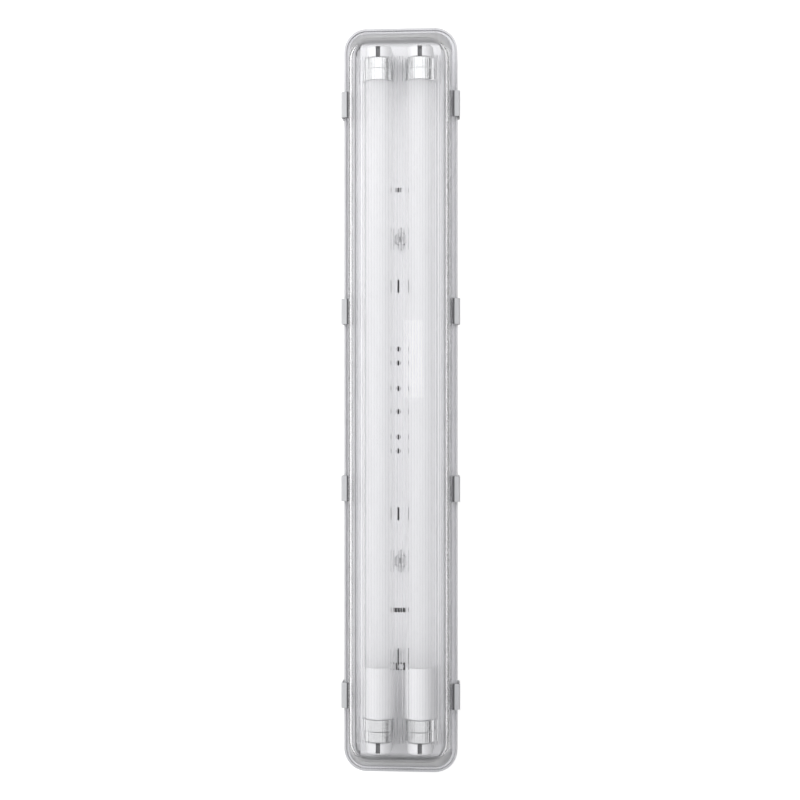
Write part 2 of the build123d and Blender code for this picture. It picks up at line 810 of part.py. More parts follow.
def live_wire(lamp_side):
    """Wire from the live pole that crosses low, then rises to the entry nearer -X of a feed-end foot."""
    start, cross_start, cross_end, end = wire_marks()
    outlet_x = lamp_side * outlet_offset - pole_pitch
    entry_x = lamp_side * lamp_pitch / 2 - wire_entry_x()
    low = hump_z + wire_hole_height
    high = foot_z + wire_end_depth
    return wire_along(
        (
            (outlet_x, start, low),
            (outlet_x, cross_start, low),
            (entry_x, cross_end, low),
            (entry_x, cross_end - wire_cross, high),
            (entry_x, end, high),
        )
    )


def neutral_wire(lamp_side):
    """Wire from the neutral pole that rises first, then crosses high to the entry nearer +X of a foot."""
    start, cross_start, cross_end, end = wire_marks()
    outlet_x = lamp_side * outlet_offset + pole_pitch
    entry_x = lamp_side * lamp_pitch / 2 + wire_entry_x()
    low = hump_z + wire_hole_height
    high = foot_z + wire_end_depth
    return wire_along(
        (
            (outlet_x, start, low),
            (outlet_x, cross_start + wire_cross, low),
            (outlet_x, cross_start, high),
            (entry_x, cross_end - wire_cross, high),
            (entry_x, end, high),
        )
    )


def make_live_wires():
    """Live wires to both feed-end lampholders."""
    return Part() + live_wire(-1) + live_wire(1)


def make_neutral_wires():
    """Neutral wires to both feed-end lampholders."""
    return Part() + neutral_wire(-1) + neutral_wire(1)


def make_earth_wire():
    """Earth wire from the middle pole up to the rivet under the tray."""
    start_y = block_y - block_length / 2 + wire_end_depth
    low_z = hump_z + wire_hole_height
    return wire_along(
        (
            (outlet_offset, start_y, low_z),
            (outlet_offset, rivet_y, low_z),
            (outlet_offset, rivet_y, tray_under_z - rivet_head),
        )
    )


def make_earth_tab():
    """Upright earth tab with a riveted foot on the tray."""
    blade = block(tab_sheet, tab_length, tray_top_z, tray_top_z + tab_height)
    tab = Pos(hole_row_x, tab_y, 0) * blade
    foot = block(tab_foot_width, tab_foot_length, tray_top_z, tray_top_z + tab_sheet)
    foot = fillet(foot.edges().filter_by(Axis.Z), tab_sheet)
    foot -= rod_z(rivet_radius + seat_clearance, tray_top_z, tray_top_z + tab_sheet)
    return tab + Pos(0, rivet_y, 0) * foot


def make_earth_rivet():
    """Rivet through the foot of the earth tab and the tray."""
    upper = tray_top_z + tab_sheet
    rivet = rod_z(rivet_radius, tray_under_z - rivet_head, upper + rivet_head)
    rivet += rod_z(rivet_head_radius, upper, upper + rivet_head)
    rivet += rod_z(rivet_head_radius, tray_under_z - rivet_head, tray_under_z)
    return Pos(0, rivet_y, 0) * rivet


def make_cord_clamp():
    """Saddle behind the entry seal that holds the supply cord."""
    saddle = block(clamp_width, clamp_length, hump_z, hump_z + clamp_height)
    saddle = fillet(saddle.edges().group_by(Axis.Z)[-1].filter_by(Axis.Y), clamp_round)
    cord_path = Pos(0, hump_z) * Circle(clamp_cord_radius)
    saddle -= extrude_y(cord_path, -clamp_length / 2, clamp_length / 2)
    for side in (-1, 1):
        hole = rod_z(clamp_screw_radius + seat_clearance, hump_z, hump_z + clamp_height)
        saddle -= Pos(side * clamp_screw_spacing / 2, 0, 0) * hole
    return Pos(0, clamp_y, 0) * saddle


def make_clamp_screws():
    """Two screws that hold the cord clamp on its bosses."""
    top = hump_z + clamp_height
    shank = rod_z(clamp_screw_radius, hump_z - clamp_screw_bite, top)
    screw = shank + slotted_screw(clamp_screw_head_radius, top, top + clamp_screw_head)
    screws = Part()
    for side in (-1, 1):
        screws += Pos(side * clamp_screw_spacing / 2, clamp_y, 0) * screw
    return screws


def make_entry_seal():
    """Rubber entry seal with a closed membrane, gripping its seat from both sides."""
    seat = seal_seat_y()
    inner = seat + seal_wall
    back = inner + seal_flange
    points = (
        (0, back),
        (0, back - seal_membrane),
        (seal_recess_radius, back - seal_membrane),
        (seal_recess_radius, seat - seal_flange),
        (seal_flange_radius, seat - seal_flange),
        (seal_flange_radius, seat),
        (seal_hole_radius - seat_clearance, seat),
        (seal_hole_radius - seat_clearance, inner),
        (seal_flange_radius, inner),
        (seal_hole_radius, back),
    )
    profile = make_face(Polyline(*points, close=True))
    return Pos(0, 0, back_z + seal_height) * revolve(profile, Axis.Y)


def make_bracket(bracket_y):
    """Sheet bracket under the back, hooked over the ledges on both side walls."""
    lip_z = back_z + hook_height + seat_clearance + bracket_sheet
    outer_gap = bracket_arm_gap + bracket_sheet
    low_x = housing_side_x(back_z) + outer_gap
    high_x = housing_side_x(lip_z) + outer_gap
    lip_x = housing_side_x(lip_z) + open_clearance
    line = FilletPolyline(
        (-lip_x, lip_z),
        (-high_x, lip_z),
        (-low_x, 0),
        (low_x, 0),
        (high_x, lip_z),
        (lip_x, lip_z),
        radius=bracket_bend,
    )
    strip = make_face(offset(line, amount=bracket_sheet, side=Side.LEFT, closed=True))
    bracket = extrude_y(strip, -bracket_width / 2, bracket_width / 2)
    bracket -= rod_z(bracket_hole_diameter / 2, 0, bracket_sheet)
    return Pos(0, bracket_y, 0) * bracket


def other_end(shape):
    """The same piece turned half round to the feed end."""
    return Rot(0, 0, 180) * shape


def both_ends(shape):
    """Group of a piece at the far end and its like at the feed end."""
    return Part() + shape + other_end(shape)


def save(name, shape):
    """Write a named piece."""
    export_step(shape, f"parts/{name}.step")


def save_lamp(side_name, lamp_x):
    """Write the pieces of one lamp, its two rotors and its two lampholders."""
    place = Pos(lamp_x, 0, 0)
    save(f"lamp_{side_name}_glass", place * make_glass())
    save(f"lamp_{side_name}_far_cap", place * make_cap())
    save(f"lamp_{side_name}_feed_cap", place * other_end(make_cap()))
    save(f"lamp_{side_name}_pin_discs", place * both_ends(make_pin_disc()))
    save(f"lamp_{side_name}_pins", place * both_ends(make_pins()))
    save(f"lamp_{side_name}_sleeve", place * make_sleeve())
    save(f"lamp_{side_name}_led_board", place * make_board())
    save(f"lamp_{side_name}_leds", place * make_leds())
    save(f"lamp_{side_name}_driver", place * make_driver())
    save(f"rotor_{side_name}_far", place * make_rotor())
    save(f"rotor_{side_name}_feed", place * other_end(make_rotor()))
    save(f"lampholder_{side_name}_far", place * make_lampholder())
    save(f"lampholder_{side_name}_feed", place * other_end(make_lampholder()))
    save(f"contact_leaves_{side_name}", place * both_ends(make_leaves()))


def main():
    """Build every piece and write it to the parts folder."""
    os.makedirs("parts", exist_ok=True)
    save("housing", make_housing())
    save("gasket", make_gasket())
    save("cover", make_cover())
    save("gear_tray", make_tray())
    save_lamp("left", -lamp_pitch / 2)
    save_lamp("right", lamp_pitch / 2)
    for number, latch_y in enumerate(latch_ys, start=1):
        latch = make_latch(latch_y)
        save(f"latch_right_{number}", latch)
        save(f"latch_left_{number}", mirror(latch, about=Plane.YZ))
    fastener = make_fastener()
    save("tray_fastener_far", Pos(0, post_spacing / 2, 0) * fastener)
    save("tray_fastener_feed", Pos(0, -post_spacing / 2, 0) * fastener)
    save("terminal_block", make_terminal_block())
    save("terminal_screws", make_terminal_screws())
    save("live_wires", make_live_wires())
    save("neutral_wires", make_neutral_wires())
    save("earth_wire", make_earth_wire())
    save("earth_tab", make_earth_tab())
    save("earth_rivet", make_earth_rivet())
    save("cord_clamp", make_cord_clamp())
    save("clamp_screws", make_clamp_screws())
    save("entry_seal", make_entry_seal())
    save("bracket_far", make_bracket(bracket_spacing / 2))
    save("bracket_feed", make_bracket(-bracket_spacing / 2))


if __name__ == "__main__":
    main()
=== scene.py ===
"""Looks of a vapor tight fixture for two tube lamps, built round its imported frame.

Lengths are metres in the frame's axes: X runs across the fixture, Y along the lamps
with the feed end at -Y, and Z up from the mounting surface to the crown of the cover.
"""

import json
import logging
import math
from contextlib import contextmanager
from dataclasses import dataclass
from enum import Enum
from typing import Any, Callable, Dict, Iterator, List, Optional, Sequence, Tuple, Union

import bmesh
import bpy
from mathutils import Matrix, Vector

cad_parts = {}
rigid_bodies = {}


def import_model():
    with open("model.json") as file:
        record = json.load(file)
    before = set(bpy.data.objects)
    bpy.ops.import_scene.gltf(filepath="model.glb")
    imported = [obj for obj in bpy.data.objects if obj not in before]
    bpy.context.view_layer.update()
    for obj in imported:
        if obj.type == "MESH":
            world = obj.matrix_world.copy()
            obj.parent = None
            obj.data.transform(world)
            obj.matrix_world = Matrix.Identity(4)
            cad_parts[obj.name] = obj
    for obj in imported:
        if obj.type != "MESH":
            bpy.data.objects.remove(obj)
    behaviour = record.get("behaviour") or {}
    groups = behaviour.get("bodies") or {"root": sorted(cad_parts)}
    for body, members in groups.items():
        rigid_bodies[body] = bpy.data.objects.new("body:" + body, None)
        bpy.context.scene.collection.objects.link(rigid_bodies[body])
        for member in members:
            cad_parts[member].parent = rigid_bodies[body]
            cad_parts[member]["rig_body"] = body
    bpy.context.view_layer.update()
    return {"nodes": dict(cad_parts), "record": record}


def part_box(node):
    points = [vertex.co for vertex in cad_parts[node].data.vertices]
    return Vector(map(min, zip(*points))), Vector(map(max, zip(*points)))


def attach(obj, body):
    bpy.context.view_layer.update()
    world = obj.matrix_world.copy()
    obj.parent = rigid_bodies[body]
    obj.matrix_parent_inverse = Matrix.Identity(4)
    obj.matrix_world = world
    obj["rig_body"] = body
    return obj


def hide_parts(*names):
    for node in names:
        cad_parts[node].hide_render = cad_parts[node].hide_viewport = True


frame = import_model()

MM = 0.001
MERGE_DISTANCE = 0.002 * MM
FLAT_ANGLE = math.radians(0.5)
SHARP_ANGLE = math.radians(32.0)
BEVEL_STEPS = 2
MOTTLE_SIZE = 0.3
# Numbers of the color sockets of a Mix node
MIX_FIRST, MIX_SECOND, MIX_RESULT = 6, 7, 2
WHITE = (1.0, 1.0, 1.0)
GREY_CARD = (0.45, 0.45, 0.46)
DARK_CARD = (0.1, 0.1, 0.105)
NODE_SLOTS = {part["node"]: part["material_slot"] for part in frame["record"]["subparts"]}
LATCH_NUMBERS = (1, 2, 3, 4)

Color = Tuple[float, float, float]
Point = Tuple[float, float, float]
Profile = List[Tuple[float, float]]
Operand = Union["Value", float]
Tone = Union["Value", Color]

log = logging.getLogger("fixture")


class Named(Enum):
    """Option with a word of its own in node names."""

    @property
    def word(self) -> str:
        """Word of the option in node names."""
        return self.name.lower()


class Side(Named):
    """Side of the fixture, by the sign of X."""

    LEFT = -1
    RIGHT = 1


class End(Named):
    """End of the fixture, by the sign of Y."""

    FAR = 1
    FEED = -1


class Axis(Enum):
    """Axis of the frame, by its socket's name."""

    X = "X"
    Y = "Y"
    Z = "Z"


class Ray(Enum):
    """Kind of ray, by its output of the Light Path node."""

    CAMERA = "Is Camera Ray"
    DIFFUSE = "Is Diffuse Ray"
    GLOSSY = "Is Glossy Ray"
    SHADOW = "Is Shadow Ray"
    TRANSMISSION = "Is Transmission Ray"


def operator(operation: str, reflected: bool = False) -> Callable[["Value", Operand], "Value"]:
    """Make an operator of Value that adds one Math node.

    Args:
        operation: Blender's name of the operation.
        reflected: Whether the Value stands on the right.

    Returns:
        The method.
    """

    def method(self: "Value", other: Operand) -> "Value":
        """Join the Value and the other operand."""
        first, second = (other, self) if reflected else (self, other)
        return self.math(operation, first, second)

    return method


class Value:
    """Output socket of a node tree whose arithmetic adds Math nodes."""

    __add__ = operator("ADD")
    __radd__ = operator("ADD", reflected=True)
    __sub__ = operator("SUBTRACT")
    __rsub__ = operator("SUBTRACT", reflected=True)
    __mul__ = operator("MULTIPLY")
    __rmul__ = operator("MULTIPLY", reflected=True)
    __truediv__ = operator("DIVIDE")
    __rtruediv__ = operator("DIVIDE", reflected=True)
    __mod__ = operator("FLOORED_MODULO")
    __rmod__ = operator("FLOORED_MODULO", reflected=True)

    def __init__(self, graph: "Graph", socket: Optional[bpy.types.NodeSocket]) -> None:
        """Keep the graph and an output socket, or none for a node that ends the tree."""
        self.graph = graph
        self.socket = socket

    def math(self, operation: str, first: Operand, second: Operand) -> "Value":
        """Add one Math node with two operands."""
        return self.graph.node("ShaderNodeMath", {"operation": operation}, {0: first, 1: second})

    def single(self, operation: str) -> "Value":
        """Add one Math node with the socket as its only operand."""
        return self.graph.node("ShaderNodeMath", {"operation": operation}, {0: self})


class Graph:
    """Node tree that is built by calls."""

    def __init__(self, tree: bpy.types.NodeTree) -> None:
        """Keep a shader or geometry node tree."""
        self.tree = tree

    def node(
        self,
        kind: str,
        settings: Optional[Dict[str, Any]] = None,
        sockets: Optional[Dict[Union[str, int], Any]] = None,
        output: Union[str, int] = 0,
    ) -> Value:
        """Add a node.

        Args:
            kind: Blender's type name of the node.
            settings: Properties, set before the sockets.
            sockets: Input sockets by name or number, with values or links.
            output: Output socket to return, by name or number.

        Returns:
            The chosen output.
        """
        made = self.tree.nodes.new(kind)
        for key, value in (settings or {}).items():
            setattr(made, key, value)
        for key, value in (sockets or {}).items():
            self.plug(made.inputs[key], value)
        return Value(self, made.outputs[output] if len(made.outputs) else None)

    def plug(self, target: bpy.types.NodeSocket, value: Any) -> None:
        """Give an input socket a link, several links or a plain value.

        Args:
            target: Input socket.
            value: One Value, a list of Values, or what the socket holds.
        """
        if isinstance(value, Value):
            self.tree.links.new(value.socket, target)
        elif isinstance(value, list):
            for item in value:
                self.tree.links.new(item.socket, target)
        else:
            target.default_value = value

    def coordinate(self, point: Value, axis: Axis) -> Value:
        """One coordinate of a point, in metres."""
        return self.node("ShaderNodeSeparateXYZ", sockets={0: point}, output=axis.value)

    def share(self, ray: Ray) -> Value:
        """1 for rays of one kind and 0 for the rest."""
        return self.node("ShaderNodeLightPath", output=ray.value)


class Surface(Graph):
    """Material under construction, on Object coordinates."""

    def __init__(self, name: str) -> None:
        """Start an empty material.

        Args:
            name: Name of the finish.
        """
        self.material = bpy.data.materials.new(name)
        self.material.use_nodes = True
        self.material.node_tree.nodes.clear()
        super().__init__(self.material.node_tree)
        self.place = self.node("ShaderNodeTexCoord", output="Object")

    def noise(self, size: float, detail: float = 2.0, stretch: Point = (1.0, 1.0, 1.0)) -> Value:
        """Noise between 0 and 1.

        Args:
            size: Size of the patches in metres.
            detail: Octaves of finer noise.
            stretch: Factors on the coordinates; a small one draws the noise out along that axis.

        Returns:
            The noise.
        """
        scaled = {"Vector": self.place, "Scale": stretch}
        drawn = self.node("ShaderNodeMapping", {"vector_type": "POINT"}, scaled)
        return self.node(
            "ShaderNodeTexNoise",
            {"noise_dimensions": "3D"},
            {"Vector": drawn, "Scale": 1.0 / size, "Detail": detail},
        )

    def axis(self, axis: Axis) -> Value:
        """Coordinate of the surface's point along one axis."""
        return self.coordinate(self.place, axis)

    def reach(self, axis: Axis) -> Value:
        """Distance of the surface's point from the middle of the fixture along one axis."""
        return self.axis(axis).single("ABSOLUTE")

    def ramp(self, value: Operand, start: float, end: float) -> Value:
        """Share that rises from 0 at the start to 1 at the end, flat beyond both."""
        limits = {"Value": value, "From Min": start, "From Max": end}
        return self.node("ShaderNodeMapRange", {"clamp": True}, limits)

    def mix(self, factor: Operand, first: Tone, second: Tone) -> Value:
        """Blend two colors.

        Args:
            factor: Share of the second color.
            first: Color at 0.
            second: Color at 1.

        Returns:
            The blended color.
        """
        sockets = {0: factor}
        for socket, tone in ((MIX_FIRST, first), (MIX_SECOND, second)):
            sockets[socket] = tone if isinstance(tone, Value) else (*tone, 1.0)
        settings = {"data_type": "RGBA", "blend_type": "MIX"}
        return self.node("ShaderNodeMix", settings, sockets, output=MIX_RESULT)

    def bump(self, height: Value, depth: float) -> Value:
        """Normal of a relief from 0 to 1 that is so many metres deep."""
        relief = {"Height": height, "Distance": depth, "Strength": 1.0}
        return self.node("ShaderNodeBump", sockets=relief)

    def principled(self, **sockets: Any) -> Value:
        """Add the main shader, with underscores for spaces in its sockets' names."""
        named = {key.replace("_", " "): value for key, value in sockets.items()}
        return self.node("ShaderNodeBsdfPrincipled", sockets=named)

    def blend(self, factor: Operand, first: Value, second: Value) -> Value:
        """Blend two shaders by the share of the second."""
        return self.node("ShaderNodeMixShader", sockets={0: factor, 1: first, 2: second})

    def shown(self, shader: Value) -> bpy.types.Material:
        """Send a shader to the output and return the finished material."""
        self.node("ShaderNodeOutputMaterial", sockets={"Surface": shader})
        return self.material


class ShapeTree(Graph):
    """Geometry node tree with named inputs."""

    def __init__(self, name: str, inputs: Dict[str, str]) -> None:
        """Start a tree.

        Args:
            name: Name of the tree.
            inputs: Socket type of each named input.
        """
        super().__init__(bpy.data.node_groups.new(name, "GeometryNodeTree"))
        face = self.tree.interface
        face.new_socket("Geometry", in_out="OUTPUT", socket_type="NodeSocketGeometry")
        for label, kind in inputs.items():
            face.new_socket(label, in_out="INPUT", socket_type=kind)
        self.given = {label: self.node("NodeGroupInput", output=label) for label in inputs}

    def merged(self, geometry: Value) -> Value:
        """Geometry with its doubled points merged."""
        doubles = {"Geometry": geometry, "Distance": MERGE_DISTANCE}
        return self.node("GeometryNodeMergeByDistance", sockets=doubles)

    def deliver(self, geometry: Value) -> None:
        """Send a geometry out as plain mesh with the material of the input named Finish.

        Args:
            geometry: What the tree makes.
        """
        plain = self.node("GeometryNodeRealizeInstances", sockets={0: geometry})
        finish = {0: plain, "Material": self.given["Finish"]}
        dressed = self.node("GeometryNodeSetMaterial", sockets=finish)
        self.node("NodeGroupOutput", sockets={0: dressed})

    def shape(self, piece: bpy.types.Object, values: Dict[str, Any]) -> None:
        """Run the tree on a piece and keep the result as its mesh.

        Args:
            piece: Object whose mesh goes in first.
            values: Values of the named inputs.
        """
        modifier = piece.modifiers.new(self.tree.name, "NODES")
        modifier.node_group = self.tree
        for item in self.tree.interface.items_tree:
            if item.in_out == "INPUT" and item.name in values:
                modifier[item.identifier] = values[item.name]
        settle(piece)


def shaded(color: Color, factor: float) -> Color:
    """Linear color times a factor, at most 1."""
    return tuple(min(channel * factor, 1.0) for channel in color)


@dataclass(frozen=True)
class MouldedPlastic:
    """Moulded plastic or rubber with a fine grain and faint clouding."""

    name: str
    color: Color
    roughness: float = 0.42
    grain: float = 0.5 * MM
    relief: float = 0.006 * MM
    cloud: float = 18.0 * MM
    contrast: float = 0.05
    unevenness: float = 0.06
    refraction: float = 1.48

    def material(self) -> bpy.types.Material:
        """Build the material.

        Returns:
            The material.
        """
        surface = Surface(self.name)
        grain = surface.noise(self.grain)
        return surface.shown(
            surface.principled(
                Base_Color=self.tone(surface),
                Roughness=self.roughness - self.unevenness + 2.0 * self.unevenness * grain,
                Normal=surface.bump(grain, self.relief),
                IOR=self.refraction,
            )
        )

    def tone(self, surface: Surface) -> Value:
        """Clouded color of the plastic.

        Args:
            surface: Material under construction.

        Returns:
            The color.
        """
        cloud = surface.noise(self.cloud, detail=3.0)
        dark = shaded(self.color, 1.0 - self.contrast)
        light = shaded(self.color, 1.0 + self.contrast)
        return surface.mix(cloud, dark, light)


@dataclass(frozen=True)
class LippedPlastic(MouldedPlastic):
    """Moulded plastic with painted shade on the tip nearest the middle of the fixture."""

    lip_color: Color = (0.1, 0.1, 0.105)
    lip_edge: float = 47.4 * MM
    lip_foot: float = 38.0 * MM
    lip_fade: float = 0.1 * MM

    def tone(self, surface: Surface) -> Value:
        """Clouded color of the plastic, with painted shade on the tip above the hinge.

        Args:
            surface: Material under construction.

        Returns:
            The color.
        """
        # Painted shade: the tip is darkened for the shadow in the gap beside the cover's wall.
        tip_shade = surface.ramp(surface.reach(Axis.X), self.lip_edge + self.lip_fade, self.lip_edge)
        above = surface.ramp(surface.axis(Axis.Z), self.lip_foot - self.lip_fade, self.lip_foot)
        return surface.mix(tip_shade * above, super().tone(surface), self.lip_color)


@dataclass(frozen=True)
class ClearPlastic:
    """Clear moulded plastic that lets lamps light what is behind it."""

    name: str
    color: Color
    pass_color: Color
    roughness: float = 0.0
    refraction: float = 1.3
    haze: float = 30.0 * MM
    haze_matt: float = 0.012
    side_matt: float = 0.2
    side_bloom: float = 0.03
    end_matt: float = 0.35
    flat_half: Tuple[float, float] = (35.5 * MM, 301.0 * MM)
    matt_fade: float = 4.0 * MM
    matt_foot: float = 42.5 * MM
    foot_fade: float = 1.0 * MM
    end_color: Color = (0.56, 0.56, 0.565)
    ridge_color: Color = (0.88, 0.88, 0.89)
    ridge_pitch: float = 2.45 * MM
    ridge_half: float = 0.35 * MM
    ridge_top: float = 73.3 * MM
    ridge_top_fade: float = 0.05 * MM
    ridge_reach: float = 37.0 * MM
    ridge_reach_fade: float = 0.2 * MM

    def material(self) -> bpy.types.Material:
        """Build the material.

        Returns:
            The material.
        """
        surface = Surface(self.name)
        haze = surface.noise(self.haze, detail=4.0)
        side, end = self.walls(surface)
        # Painted shade: thin grey lines along the prism tips stand for the light the prisms bend
        # away.
        tone = surface.mix(self.ridges(surface), self.color, self.ridge_color)
        matt = self.haze_matt * haze * haze + self.side_matt * side + self.end_matt * end
        plastic = surface.principled(
            # Painted shade: the end walls are tinted grey for the dark they bend and mirror.
            Base_Color=surface.mix(end, tone, self.end_color),
            Roughness=self.roughness + matt,
            IOR=self.refraction,
            Transmission_Weight=1.0,
        )
        bloom = surface.node("ShaderNodeBsdfDiffuse", sockets={"Color": (*self.color, 1.0)})
        plastic = surface.blend(side * self.side_bloom, plastic, bloom)
        passed = {"Color": (*self.pass_color, 1.0)}
        clear = surface.node("ShaderNodeBsdfTransparent", sockets=passed)
        for ray in (Ray.DIFFUSE, Ray.SHADOW):
            plastic = surface.blend(surface.share(ray), plastic, clear)
        return surface.shown(plastic)

    def walls(self, surface: Surface) -> Tuple[Value, Value]:
        """Shares of the etched side and end walls, none on the flat top and on the flange.

        Args:
            surface: Material under construction.

        Returns:
            Share of the side walls and share of the end walls.
        """
        half_x, half_y = self.flat_half
        side = surface.ramp(surface.reach(Axis.X), half_x, half_x + self.matt_fade)
        end = surface.ramp(surface.reach(Axis.Y), half_y, half_y + self.matt_fade)
        wall = surface.ramp(surface.axis(Axis.Z), self.matt_foot - self.foot_fade, self.matt_foot)
        return wall * side * (1.0 - end), wall * end

    def ridges(self, surface: Surface) -> Value:
        """Share of the painted shade line along the tip of each prism.

        Args:
            surface: Material under construction.

        Returns:
            The share.
        """
        step = (surface.axis(Axis.X) / self.ridge_pitch) % 1.0 - 0.5
        line = surface.ramp(step.single("ABSOLUTE") * self.ridge_pitch, self.ridge_half, 0.0)
        ceiling = self.ridge_top + self.ridge_top_fade
        under = surface.ramp(surface.axis(Axis.Z), ceiling, self.ridge_top)
        full_reach = self.ridge_reach - self.ridge_reach_fade
        inside = surface.ramp(surface.reach(Axis.X), self.ridge_reach, full_reach)
        return line * under * inside


@dataclass(frozen=True)
class FrostedGlass:
    """Milky lamp glass with painted shade towards its ends and a faint painted glow."""

    name: str
    color: Color
    end_color: Color
    half_length: float
    passing: float = 0.97
    glow: float = 0.05
    spread: float = 10.0 * MM
    fade: float = 22.0 * MM
    grain: float = 0.25 * MM
    relief: float = 0.002 * MM
    roughness: float = 0.28
    grain_matt: float = 0.08
    refraction: float = 1.5
    gloss: float = 0.25
    gloss_matt: float = 0.12

    def material(self) -> bpy.types.Material:
        """Build the material.

        Returns:
            The material.
        """
        surface = Surface(self.name)
        grain = surface.noise(self.grain)
        # Painted shade: the glass darkens next to the caps.
        end = surface.ramp(surface.reach(Axis.Y), self.half_length - self.fade, self.half_length)
        glass = surface.principled(
            Base_Color=surface.mix(end, self.color, self.end_color),
            Roughness=self.roughness + self.grain_matt * grain,
            Normal=surface.bump(grain, self.relief),
            IOR=self.refraction,
            Coat_Weight=self.gloss,
            Coat_Roughness=self.gloss_matt,
            # Painted glow: a faint emission of its own evens out the shading of the unlit tube.
            Emission_Color=(*self.color, 1.0),
            Emission_Strength=self.glow,
            Subsurface_Weight=1.0,
            Subsurface_Radius=(1.0, 1.0, 1.0),
            Subsurface_Scale=self.spread,
        )
        milky = surface.blend(self.passing, glass, surface.node("ShaderNodeBsdfTransparent"))
        return surface.shown(surface.blend(surface.share(Ray.DIFFUSE), glass, milky))


@dataclass(frozen=True)
class DrawnMetal:
    """Bare metal with fine lines, drawn out along the axes that have a small stretch."""

    name: str
    color: Color
    roughness: float
    stretch: Point = (1.0, 1.0, 1.0)
    line: float = 0.12 * MM
    relief: float = 0.0015 * MM
    polish: float = 0.04
    line_matt: float = 0.1
    stain: float = 9.0 * MM
    stain_shade: float = 0.93

    def material(self) -> bpy.types.Material:
        """Build the material.

        Returns:
            The material.
        """
        surface = Surface(self.name)
        lines = surface.noise(self.line, detail=3.0, stretch=self.stretch)
        stain = surface.noise(self.stain, detail=3.0)
        return surface.shown(
            surface.principled(
                Base_Color=surface.mix(stain, shaded(self.color, self.stain_shade), self.color),
                Metallic=1.0,
                Roughness=self.roughness - self.polish + self.line_matt * lines,
                Normal=surface.bump(lines, self.relief),
            )
        )


@dataclass(frozen=True)
class EnamelledSheet:
    """Sheet steel with a baked white coat, its slight orange peel and painted shade towards its
    ends.
    """

    name: str
    color: Color
    roughness: float = 0.34
    peel: float = 1.6 * MM
    end_shade: float = 1.0
    end_start: float = 285.0 * MM
    end_fade: float = 12.0 * MM
    relief: float = 0.006 * MM
    unevenness: float = 0.03
    cloud: float = 60.0 * MM
    cloud_shade: float = 0.97
    refraction: float = 1.5

    def material(self) -> bpy.types.Material:
        """Build the material.

        Returns:
            The material.
        """
        surface = Surface(self.name)
        peel = surface.noise(self.peel, detail=1.0)
        cloud = surface.noise(self.cloud)
        end = surface.ramp(surface.reach(Axis.Y), self.end_start, self.end_start + self.end_fade)
        tone = surface.mix(cloud, shaded(self.color, self.cloud_shade), self.color)
        return surface.shown(
            surface.principled(
                # Painted shade: the coat darkens towards the ends, where the lamp caps shade the
                # tray.
                Base_Color=surface.mix(end, tone, shaded(self.color, self.end_shade)),
                Roughness=self.roughness - self.unevenness + 2.0 * self.unevenness * peel,
                Normal=surface.bump(peel, self.relief),
                IOR=self.refraction,
            )
        )


def new_object(name: str, mesh: bpy.types.Mesh) -> bpy.types.Object:
    """Link a mesh into the scene at the origin.

    Args:
        name: Name of the piece.
        mesh: Its mesh, in the frame's axes.

    Returns:
        The object.
    """
    made = bpy.data.objects.new(name, mesh)
    bpy.context.scene.collection.objects.link(made)
    return made


@contextmanager
def merged_points(mesh: bpy.types.Mesh) -> Iterator[bmesh.types.BMesh]:
    """Open a mesh for editing with its doubled points merged.

    Args:
        mesh: Mesh to edit.

    Yields:
        The open mesh, which is written back at the end.
    """
    shape = bmesh.new()
    shape.from_mesh(mesh)
    bmesh.ops.remove_doubles(shape, verts=shape.verts, dist=MERGE_DISTANCE)
    yield shape
    shape.to_mesh(mesh)
    shape.free()


def outward(mesh: bpy.types.Mesh) -> None:
    """Merge a closed mesh's doubled points and turn its normals outwards."""
    with merged_points(mesh) as shape:
        bmesh.ops.recalc_face_normals(shape, faces=shape.faces)


def mesh_of(
    name: str, points: Sequence[Sequence[float]], faces: Sequence[Sequence[int]]
) -> bpy.types.Mesh:
    """Make a mesh with its normals turned outwards.

    Args:
        name: Name of the mesh.
        points: Corner points.
        faces: Faces by point numbers.

    Returns:
        The mesh.
    """
    mesh = bpy.data.meshes.new(name)
    mesh.from_pydata([tuple(point) for point in points], [], [tuple(face) for face in faces])
    outward(mesh)
    return mesh


def settle(piece: bpy.types.Object) -> None:
    """Turn a piece's live modifiers into a plain mesh.

    Args:
        piece: Object with modifiers.
    """
    graph = bpy.context.evaluated_depsgraph_get()
    mesh = bpy.data.meshes.new_from_object(
        piece.evaluated_get(graph), preserve_all_data_layers=True, depsgraph=graph
    )
    piece.modifiers.clear()
    piece.data = mesh


def smooth(piece: bpy.types.Object) -> None:
    """Shade a piece smooth up to the sharp angle, with flats kept flat.

    Args:
        piece: Object to shade.
    """
    piece.data.shade_smooth()
    piece.data.set_sharp_from_angle(angle=SHARP_ANGLE)
    weighted = piece.modifiers.new("flat faces", "WEIGHTED_NORMAL")
    weighted.keep_sharp = True
    settle(piece)


def dress(piece: bpy.types.Object, material: bpy.types.Material, node: str) -> None:
    """Give a finished piece its material and let it stand for its CAD node.

    Args:
        piece: Finished object.
        material: Its finish.
        node: CAD node that it replaces and whose body it moves with.
    """
    body = frame["nodes"][node]["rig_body"]
    piece.data.materials.clear()
    piece.data.materials.append(material)
    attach(piece, body)
    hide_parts(node)
    log.info("%s: %d faces on %s", piece.name, len(piece.data.polygons), body)


def edged(node: str, edge: float, finishes: "Finishes") -> bpy.types.Object:
    """Stand for a CAD node by a copy of it with softened edges and smooth rounds.

    Args:
        node: CAD node.
        edge: Width of the softened edges.
        finishes: Materials by slot.

    Returns:
        The piece.
    """
    mesh = frame["nodes"][node].data.copy()
    with merged_points(mesh) as shape:
        bmesh.ops.dissolve_limit(
            shape, angle_limit=FLAT_ANGLE, verts=shape.verts, edges=shape.edges
        )
    piece = new_object(f"{node}_finished", mesh)
    bevel = piece.modifiers.new("soft edges", "BEVEL")
    bevel.width = edge
    bevel.segments = BEVEL_STEPS
    bevel.limit_method = "ANGLE"
    bevel.angle_limit = SHARP_ANGLE
    settle(piece)
    smooth(piece)
    dress(piece, finishes.of(node), node)
    return piece


